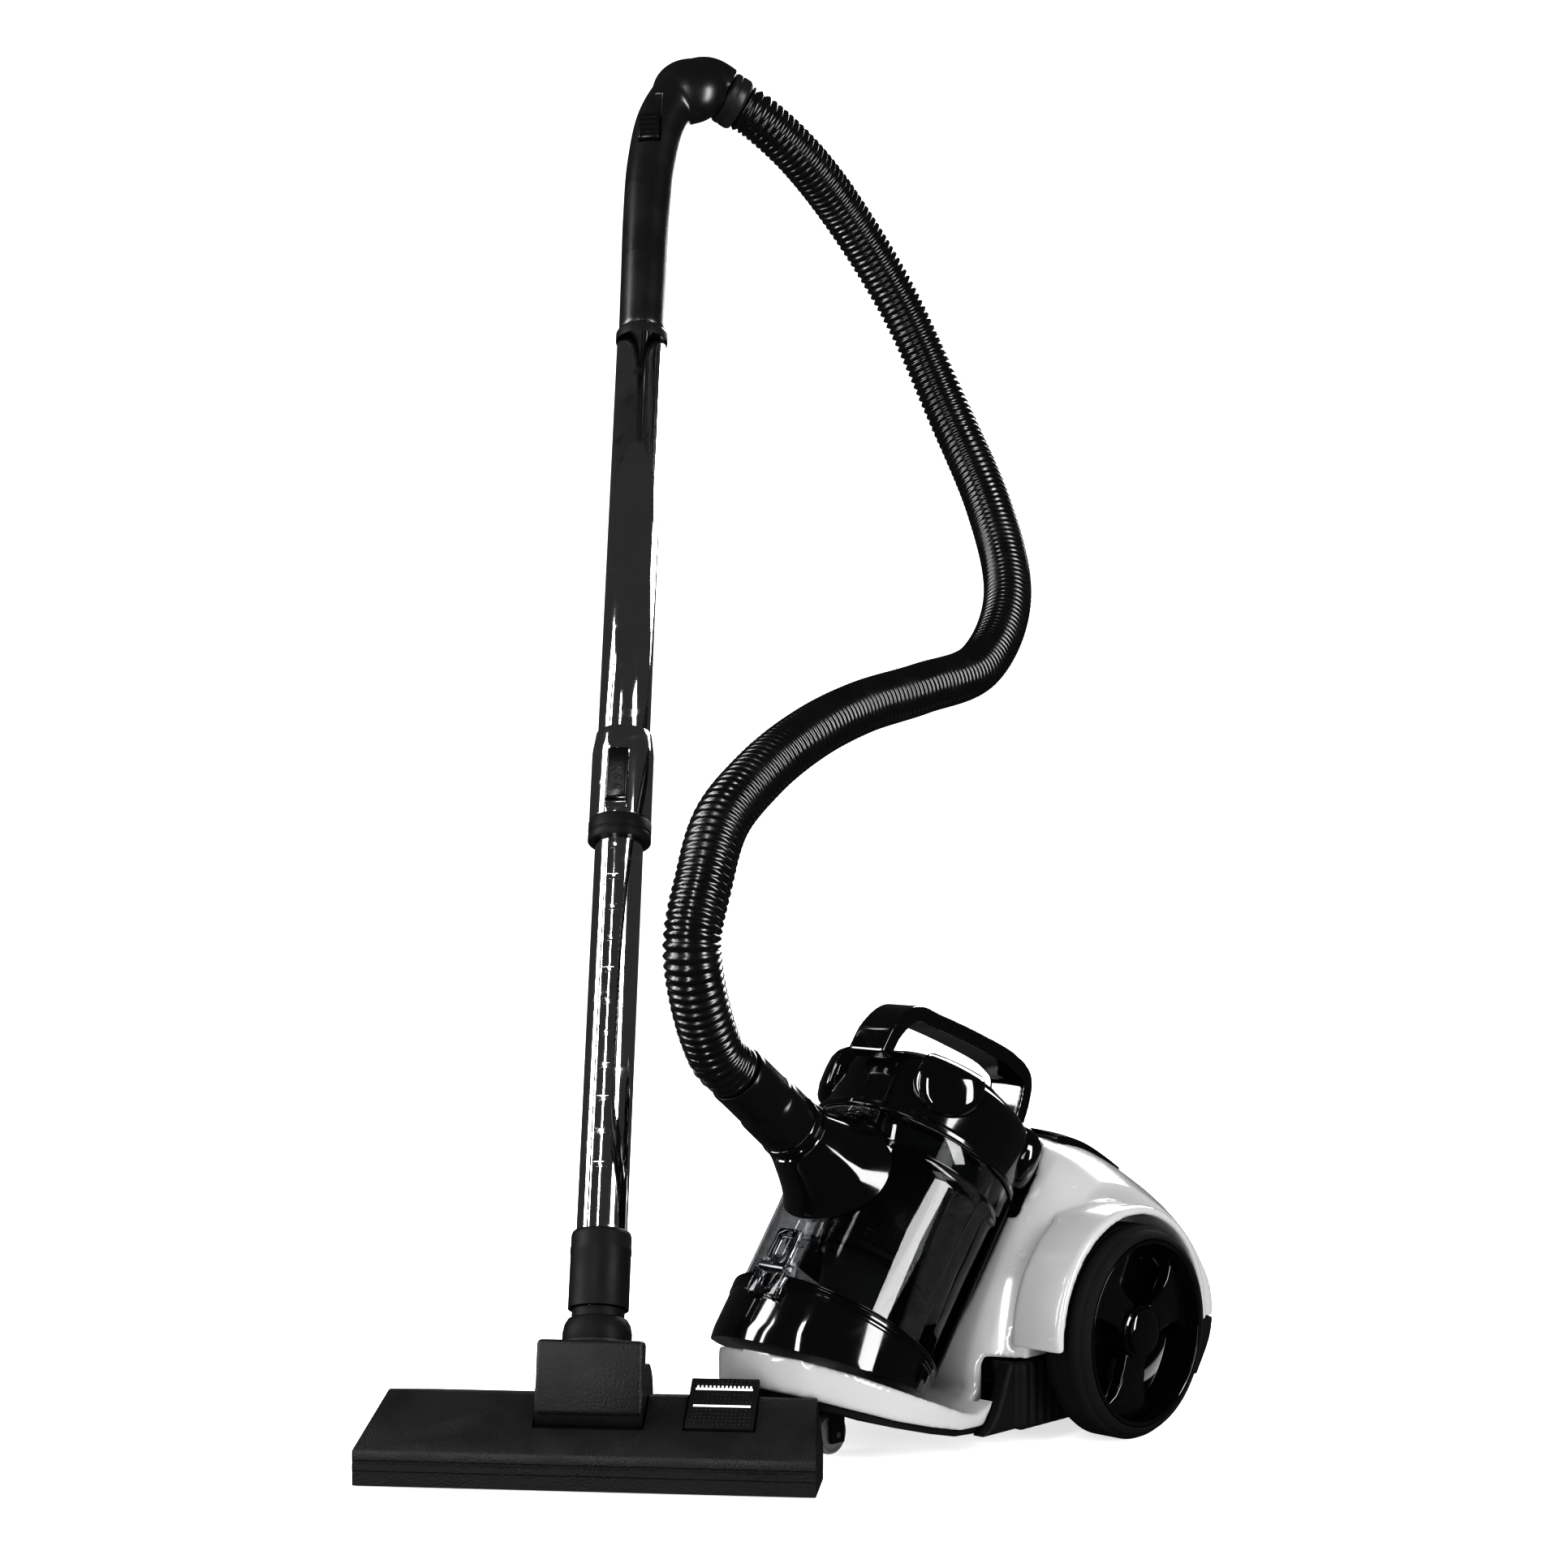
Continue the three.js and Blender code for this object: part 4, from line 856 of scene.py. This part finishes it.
piece_of("strap_handle", as_bmesh(strap), "canister", PIANO, "carry_handle", 0.3, BIN)
button = solid_object(block(-9, 42.5, 231.3, 9, 57, 237, 0.8))
for number in range(3):
    carve(button, solid_object(block(-7, 44.6 + 3.4 * number, 236.3, 7, 46.2 + 3.4 * number, 240)))
piece_of("release_key", as_bmesh(button), "release_button", SATIN, "bin_release_button", 0.2, BIN)

# %% [markdown]
# At the front foot of the bin a clear loop swings up on a steel pin and lets the bottom drop open.
# The loop is a rounded plate with a window cut out of it and a barrel round the pin.

# %% The clear latch
PIN_Y, PIN_Z = -72.2, 5.5
loop = solid_object(block(-10, PIN_Y - 2, PIN_Z, 10, PIN_Y + 2.2, PIN_Z + 27, 1.6))
carve(loop, solid_object(block(-5.5, PIN_Y - 5, PIN_Z + 8, 5.5, PIN_Y + 8, PIN_Z + 21.5, 2)))
pin_frame = shifted(0, PIN_Y, PIN_Z) @ turned(90, "Y")
carve(loop, solid_object(rod(3.4, -10, 10, pin_frame, 48)), "UNION")
carve(loop, solid_object(rod(1.9, -20, 20, pin_frame, 48)))
piece_of("latch_bow", as_bmesh(loop), "latch", CLEAR, "latch_loop", 0.5, BIN)
hook = solid_object(block(-12.8, PIN_Y - 3, -14, -4.5, PIN_Y + 2, 1.4, 0.6))
carve(hook, solid_object(block(4.5, PIN_Y - 3, -14, 12.8, PIN_Y + 2, 1.4, 0.6)), "UNION")
carve(hook, solid_object(block(-12.5, PIN_Y - 1, -13.5, 12.5, PIN_Y + 2, -9)), "UNION")
for x in (-11.6, 11.6):
    carve(hook, solid_object(block(x - 1.2, PIN_Y - 3, -2, x + 1.2, PIN_Y + 2.4, 8.5, 0.4)), "UNION")
carve(hook, solid_object(rod(1.9, -30, 30, pin_frame, 48)))
piece_of("latch_prongs", as_bmesh(hook), "canister", CLEAR, "latch_hook", 0.3, BIN)
print("bin group done")

# %% [markdown]
# The hose plugs into a gloss saddle on the bin's front. The saddle is turned, then its foot is bent
# so that it lies on the bin's round wall: each point sinks by the wall's own curve, and fully at the foot.

# %% The inlet saddle, swivel ring and hose cuff
saddle = lathe([(16, 66), (16, 105.6), (20.6, 106), (22, 105.2), (22.4, 103), (23.2, 100), (25.4, 94),
                (28.6, 86), (32.4, 78), (36.4, 71.6), (39.4, 68.4), (40, 67.6), (38, 66.6), (30, 66.6),
                (16, 66)], 96)
for v in saddle.verts:
    sink = 67.9 - math.sqrt(max(0, 67.9 ** 2 - v.co.x ** 2))
    share = min(1, max(0, (104 - v.co.z) / 36))
    v.co.z -= sink * share * share * (3 - 2 * share)
piece_of("inlet_saddle", saddle, "canister", PIANO, "inlet_fairing", 0.3, INLET)
swivel = lathe([(16, 106.3), (20.6, 106.3), (21.4, 107.2), (21.5, 109), (20.9, 109.6), (20.9, 110.2),
                (21.5, 110.8), (21.5, 113), (20.8, 114.6), (19.8, 115), (16, 115), (16, 106.3)], 96)
piece_of("swivel_collar", swivel, "hose_end", PIANO, "swivel_ring", 0.2, INLET)
cuff = lathe([(16, 115.3), (20.3, 115.3), (20.6, 117), (20.4, 139), (20.0, 140), (19.4, 141), (19.3, 144),
              (19.2, 168), (19.4, 169), (19.4, 171), (18.6, 173), (16, 173), (16, 115.3)], 96)
piece_of("hose_cuff_lower", cuff, "hose_end", SATIN, "hose_cuff_canister", 0.2, INLET)

# %% [markdown]
# The wand is two chrome tubes, one inside the other. The lower one has eleven catch notches.
# The tube is turned, and a small rounded block is carved out of its front for each notch,
# so that each one is a real pocket with a bright edge.

# %% The lower tube with its catch notches
tube = solid_object(lathe([(14.4, 62), (16, 62), (16, 470), (14.4, 470), (14.4, 62)], 96))
for number in range(11):
    start = 145 + 21.5 * number
    carve(tube, solid_object(block(-7, -20, start - 2, 7, -15.2, start + 2, 0.6)))
piece_of("lower_wand_tube", as_bmesh(tube), "canister", CHROME, "lower_tube", 0.25, WAND)
upper = lathe([(16.3, 402), (17.3, 402), (17.5, 402.4), (17.5, 760), (16.3, 760), (16.3, 402)], 96)
piece_of("upper_wand_tube", upper, "upper_wand", CHROME, "upper_tube", 0, WAND)
collar = lathe([(17.8, 752), (18.2, 752), (18.5, 752.6), (18.5, 758.4), (18.1, 759), (17.8, 759),
                (17.8, 752)], 96)
piece_of("grip_collar", collar, "upper_wand", MATT, "tube_collar", 0.2, WAND)
socket = lathe([(16.3, 56), (19, 56), (19, 90), (19.3, 91), (19.3, 94), (19, 95), (19, 101.6),
                (18.4, 104), (17.4, 105), (16.3, 105), (16.3, 56)], 96)
piece_of("tube_socket", socket, "canister", MATT, "wand_cuff", 0.2, WAND)

# %% [markdown]
# The coupler lets the wand grow: a chrome sleeve with a dark sliding button in a window.
# Three arrowheads on the button show which way to push it.

# %% The telescope coupler
sleeve = solid_object(lathe([(17.8, 382), (20.2, 382), (20.7, 382.6), (20.7, 430), (20.3, 434),
                             (19.4, 440), (18.7, 445), (18.2, 446), (17.8, 446), (17.8, 382)], 96))
carve(sleeve, solid_object(block(-7.4, -30, 385, 7.4, -18.5, 428, 1.2)))
piece_of("coupler_tube", as_bmesh(sleeve), "upper_wand", CHROME, "coupler_sleeve", 0.2, WAND)
stop = lathe([(16.3, 367), (20.4, 367), (21, 368), (21, 372), (20.5, 372.6), (20.5, 373.4), (21, 374),
              (21, 380.6), (20.5, 381.7), (16.3, 381.7), (16.3, 367)], 96)
piece_of("coupler_stop", stop, "upper_wand", MATT, "coupler_ring", 0.2, WAND)
key = solid_object(block(-7, -22.8, 392, 7, -18.9, 427, 1.4))
for number in range(3):
    for side in (-1, 1):
        bar = block(-0.2, -23.6, -0.8, 5, -22.0, 0.8, 0.25)
        bar.transform(shifted(0, 0, 400 + 7 * number) @ Matrix.Diagonal((side, 1, 1, 1)) @ turned(32, "Y"))
        bmesh.ops.recalc_face_normals(bar, faces=bar.faces)
        carve(key, solid_object(bar), "UNION")
piece_of("coupler_key", as_bmesh(key), "tube_button", SATIN, "coupler_button", 0.2, WAND)

# %% [markdown]
# The hand grip is a bent tube that swells into an elbow where the hose joins it.
# A ring is extruded along the bend, the elbow's ball is added, and the join is remeshed and relaxed.

# %% The hand grip, its air slider and the hose's upper cuff
GRIP_LINE = [(0, 0, 760.4), (0, 0, 805), (0, 0, 860), (2, 0, 906), (9, 1, 946), (24, 6, 974),
             (38, 12, 983), (50, 19, 978)]
grip_line = smooth_line(GRIP_LINE, 8)
grip = tube_along(grip_line, lambda i: 16.8 + 4.8 * (i / len(grip_line)) ** 1.2, 40)
bmesh.ops.create_uvsphere(grip, u_segments=48, v_segments=32, radius=1,
                          matrix=shifted(27, 3, 971) @ Matrix.Diagonal((28, 20, 26, 1)))
grip = soften(solid_object(grip), 1.2, 22)
carve(grip, solid_object(block(-7.5, -40, 913, 10.5, -15.6, 957, 1.4)))
piece_of("hand_grip", as_bmesh(grip), "upper_wand", GRIP, "wand_handle", 0.4, WAND)
slider = solid_object(block(-6.4, -20.4, 914.5, 9.4, -15.9, 937, 1.8))
for number in range(4):
    carve(slider, solid_object(block(-4.5, -23, 918.5 + 4.2 * number, 7.5, -19.5, 920 + 4.2 * number)))
piece_of("air_slider", as_bmesh(slider), "suction_control", SATIN, "suction_slider", 0.2, WAND)
upper_cuff = lathe([(0, 0.4), (17.6, 0.4), (18.6, 1), (20, 3), (20, 6), (19.5, 6.6), (19.5, 7.4), (20, 8),
                    (20, 13), (19.4, 14.6), (18.4, 16), (0, 16)], 96)
piece_of("hose_cuff_upper", upper_cuff, "handle_cuff", CUFF_GREY, "hose_cuff_handle", 0.2, HOSE_CUFF)
print("wand group done")

# %% [markdown]
# The floor tool is a wide low head in pebbled black plastic, with a sloping top and two ridges along its
# front. A drum-shaped neck turns in a notch in its middle. On its right is a rocking pedal that lowers
# the brush: rows of small dots stop the foot from slipping, and pale bars show the two settings.

# %% The floor tool's head
HEAD = [(0.8, 0.9), (0.8, 9.6), (0.0, 10.4), (0.0, 14), (0.9, 14.8), (0.9, 16), (0.0, 16.8), (0.0, 21),
        (1.2, 23.0), (43, 49.6), (46, 50), (68, 46), (73, 42), (76, 30), (76, 0.9)]


def tool_head():
    half, front, top = 140.5, 22, 50
    head = solid_object(side_slab(HEAD, -half, half))
    plan = [(-half - 1, -1), (half + 1, -1), (half + 1, 47), (86, 77), (-86, 77), (-half - 1, 47)]
    carve(head, solid_object(plate(plan, 80)), "INTERSECT")
    for x in (-1, 1):
        side_cut = block(0, -100, 0, 60, 200, 60) if x > 0 else block(-60, -100, 0, 0, 200, 60)
        carve(head, solid_object(side_cut, shifted(x * half, 0, front) @ turned(-8 if x > 0 else 23, "Y")))
    drum_place = shifted(0, 44, 46) @ turned(90, "Y")
    carve(head, solid_object(rod(24.2, -34.2, 34.2, drum_place)))
    carve(head, solid_object(block(-34.2, -1, 34, 34.2, 44, 90)))
    carve(head, solid_object(block(-34.2, 44, 46, 34.2, 200, 90)))
    carve(head, solid_object(block(-26, 44, 22, 26, 200, 90)))
    carve(head, solid_object(block(-137, 3.6, -1, 137, 46.4, 3.4)))
    carve(head, solid_object(block(-120, 10, -1, 120, 28, 14)))
    carve(head, solid_object(block(-12, 10, -1, 12, 50, 24)))
    carve(head, solid_object(block(-112, 33, -1, 112, 40, 15)))
    slope = math.degrees(math.atan2(top - front, 44))
    tilt = shifted(80, 0, front) @ turned(slope, "X")
    carve(head, solid_object(block(-22, 23, -9, 22, 67, 20), tilt))
    for x in (-60, 60):
        carve(head, solid_object(block(x - 6.5, 54, -1, x + 6.5, 78, 20)))
    return as_bmesh(head), tilt


head, pedal_tilt = tool_head()
piece_of("tool_head", head, "floor_tool", TEXTURED, "nozzle_body", 1.2, FLOOR_TOOL)
sole = solid_object(block(-136.5, 4, 0, 136.5, 46, 3, 0.4))
carve(sole, solid_object(block(-118, 12, -1, 118, 26, 5)))
carve(sole, solid_object(block(-112, 33, -1, 112, 40, 5)))
piece_of("sole_plate", as_bmesh(sole), "floor_tool", STEEL, "nozzle_sole", 0.2, FLOOR_TOOL)
for name, x in (("right", -60), ("left", 60)):
    roller = lathe([(0, -6.2), (2, -6.2), (2, -5), (8.2, -5), (9, -4.2), (9, 4.2), (8.2, 5), (2, 5),
                    (2, 6.2), (0, 6.2)], 48)
    piece_of("tool_roller_" + name, roller, "roller_" + name, GREY, "nozzle_roller_" + name, 0.2,
             FLOOR_TOOL @ shifted(x, 66, 9) @ turned(90, "Y"))

# %% The brush pedal with its dots and marker bars
rocker = solid_object(block(-21, 24, -3.5, 21, 66, 2.4, 0.9))
carve(rocker, solid_object(block(-18, 50, -8, 18, 62, -3)), "UNION")
for y0, y1 in ((41.2, 43.4), (55.4, 59.9)):
    carve(rocker, solid_object(block(-18, y0, 1.4, 18, y1, 4)))
piece_of("brush_rocker", as_bmesh(rocker), "tool_pedal", MATT, "brush_pedal", 0.2, FLOOR_TOOL @ pedal_tilt)
for number, (y0, y1) in enumerate(((41.5, 43.1), (55.7, 57.3))):
    bar = solid_object(block(-17.6, y0, 1.2, 17.6, y1, 2.5, 0.2))
    if number:
        for tooth in range(14):
            x = -16.25 + 2.5 * tooth
            carve(bar, solid_object(block(x - 0.65, y1 - 0.5, 1.3, x + 0.65, y1 + 2.1, 2.45)), "UNION")
    piece_of(f"setting_bar_{number + 1}", as_bmesh(bar), "tool_pedal", MARK, (), 0, FLOOR_TOOL @ pedal_tilt)
dots = bmesh.new()
for row_y in (27, 30, 33, 36, 39, 45.6, 48.6, 51.6, 61.6, 64):
    for column in range(14):
        bmesh.ops.create_icosphere(dots, subdivisions=1, radius=0.75,
                                   matrix=shifted(-17.5 + 2.7 * column, row_y, 2.15))
piece_of("grip_dots", dots, "tool_pedal", SATIN, (), 0, FLOOR_TOOL @ pedal_tilt)

# %% [markdown]
# Two hundred and twenty small tufts make the brush.
# Each tuft is a six-sided stem, leaning a little its own way.

# %% The brush
chance = random.Random(7)
tufts = bmesh.new()
for number in range(110):
    for row in (35.4, 37.6):
        lean = turned(chance.uniform(-6, 6), "Y") @ turned(chance.uniform(-6, 6), "X")
        bmesh.ops.create_cone(tufts, cap_ends=True, segments=6, radius1=0.55, radius2=0.75, depth=6,
                              matrix=shifted(-109 + 2 * number, row, 3.8) @ lean)
piece_of("brush_tufts", tufts, "brush", BRISTLE, "brush_strip", 0, FLOOR_TOOL)
backing = block(-110, 34.2, 6, 110, 38.8, 9, 0.5)
piece_of("brush_backing", backing, "brush", MATT, (), 0, FLOOR_TOOL)

# %% [markdown]
# The neck is a drum that rocks in the head, with a curved cover plate and a socket for the tube.

# %% The neck and its elbow
neck_drum = solid_object(rod(23, -33, 33, shifted(0, 44, 46) @ turned(90, "Y")))
cover = block(-33, -6, -5, 33, 8, 40, 3.0)
carve(neck_drum, solid_object(cover, shifted(0, 26, 46) @ turned(-11.4, "X")), "UNION")
WAND_MM = shifted(0, 44, 46) @ turned(-22.8, "X") @ turned(-1.25, "Y")
carve(neck_drum, solid_object(rod(24, 0, 34, WAND_MM)), "UNION")
carve(neck_drum, solid_object(rod(17.3, 8, 80, WAND_MM)))
carve(neck_drum, solid_object(rod(22.4, 30, 90, WAND_MM)))
carve(neck_drum, solid_object(rod(12, -60, 20, shifted(0, 44, 46))))
piece_of("neck_drum", as_bmesh(neck_drum), "neck", TEXTURED, "neck_housing", 0.8, FLOOR_TOOL)
elbow = lathe([(12, 9), (17, 9), (17, 31), (21, 31), (21.6, 32), (21.6, 41), (20.6, 46), (18.6, 49.4),
               (16.5, 50), (16.5, 55.7), (12, 55.7), (12, 9)], 96)
piece_of("neck_collar", elbow, "canister", MATT, "neck_elbow", 0.3, WAND)
print("floor tool done")

# %% [markdown]
# Some engineering pieces already have the right shape: axles, pins, the motor, the lead's reel.
# They keep their meshes and only get a proper finish.

# %% Finishes for the engineering pieces that stay
KEPT = {STEEL: ("axle_left", "axle_right", "caster_pin", "motor", "reel_axle", "latch_pin"),
        SOFT: ("bin_seal", "motor_mount"), FOAM: ("lid_filter", "exhaust_filter"),
        GREY: ("fan_impeller", "cord_reel"), MATT: ("cord_outlet",)}
for finish, names in KEPT.items():
    for name in names:
        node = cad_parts[name]
        node.data.materials.clear()
        node.data.materials.append(finish)
print("kept:", sum(len(names) for names in KEPT.values()))

# %% [markdown]
# The picture is a studio one: a pale floor that runs into a white background, tall soft lights
# that draw bright bands on the gloss parts, and a dimmer surround so that black stays black.
# The world is white to the camera, softer as fill light, and almost dark in reflections.
# The floor and the overhead panel are left out of reflections for the same reason.

# %% Floor, surround and lights
floor_solid = bmesh.new()
bmesh.ops.create_grid(floor_solid, x_segments=1, y_segments=1, size=12)
floor_mesh = bpy.data.meshes.new("studio_floor")
floor_solid.to_mesh(floor_mesh)
floor_solid.free()
floor = bpy.data.objects.new("studio_floor", floor_mesh)
bpy.context.scene.collection.objects.link(floor)
floor_finish = finish_of("studio_floor", (0.9, 0.9, 0.9), (0.5, 0.6), None, drift=0.99,
                         Specular_IOR_Level=0.0, Emission_Strength=0.5)
floor_mesh.materials.append(floor_finish)

bpy.context.scene.view_settings.view_transform = "Standard"
bpy.context.scene.view_settings.look = "High Contrast"
world = bpy.data.worlds.new("studio")
world.use_nodes = True
bpy.context.scene.world = world
nodes, links = world.node_tree.nodes, world.node_tree.links
background = nodes["Background"]
rays = nodes.new("ShaderNodeLightPath")
fill = nodes.new("ShaderNodeMix")
fill.inputs["A"].default_value = 0.05
fill.inputs["B"].default_value = 0.55
links.new(rays.outputs["Is Diffuse Ray"], fill.inputs["Factor"])
backdrop = nodes.new("ShaderNodeMix")
backdrop.inputs["B"].default_value = 1.05
links.new(rays.outputs["Is Camera Ray"], backdrop.inputs["Factor"])
links.new(fill.outputs["Result"], backdrop.inputs["A"])
links.new(backdrop.outputs["Result"], background.inputs["Strength"])
background.inputs["Color"].default_value = (1, 1, 1, 1)


def soft_light(name, place, aim, width, height, power):
    data = bpy.data.lights.new(name, "AREA")
    data.shape = "RECTANGLE"
    data.size, data.size_y, data.energy = width, height, power
    lamp = bpy.data.objects.new(name, data)
    lamp.location = place
    lamp.rotation_euler = (Vector(aim) - Vector(place)).to_track_quat("-Z", "Y").to_euler()
    bpy.context.scene.collection.objects.link(lamp)
    return lamp


soft_light("left_window", (-1.3, -1.5, 1.0), (0.05, 0, 0.3), 0.5, 1.8, 30)
soft_light("right_window", (1.9, 0.1, 0.9), (0.1, 0, 0.25), 0.5, 1.6, 28)
overhead = soft_light("top_panel", (0.2, -0.3, 2.3), (0.1, 0, 0.2), 1.8, 1.8, 22)
soft_light("bin_strip", (0.75, -2.0, 0.9), (0.09, 0, 0.2), 0.16, 2.2, 20)
soft_light("tube_strip", (-0.9, -2.1, 1.2), (-0.1, 0, 0.7), 0.12, 2.0, 14)
soft_light("back_panel", (-0.6, 2.0, 1.3), (0.1, 0, 0.3), 1.6, 0.8, 30)
overhead.visible_glossy = False
floor.visible_glossy = False
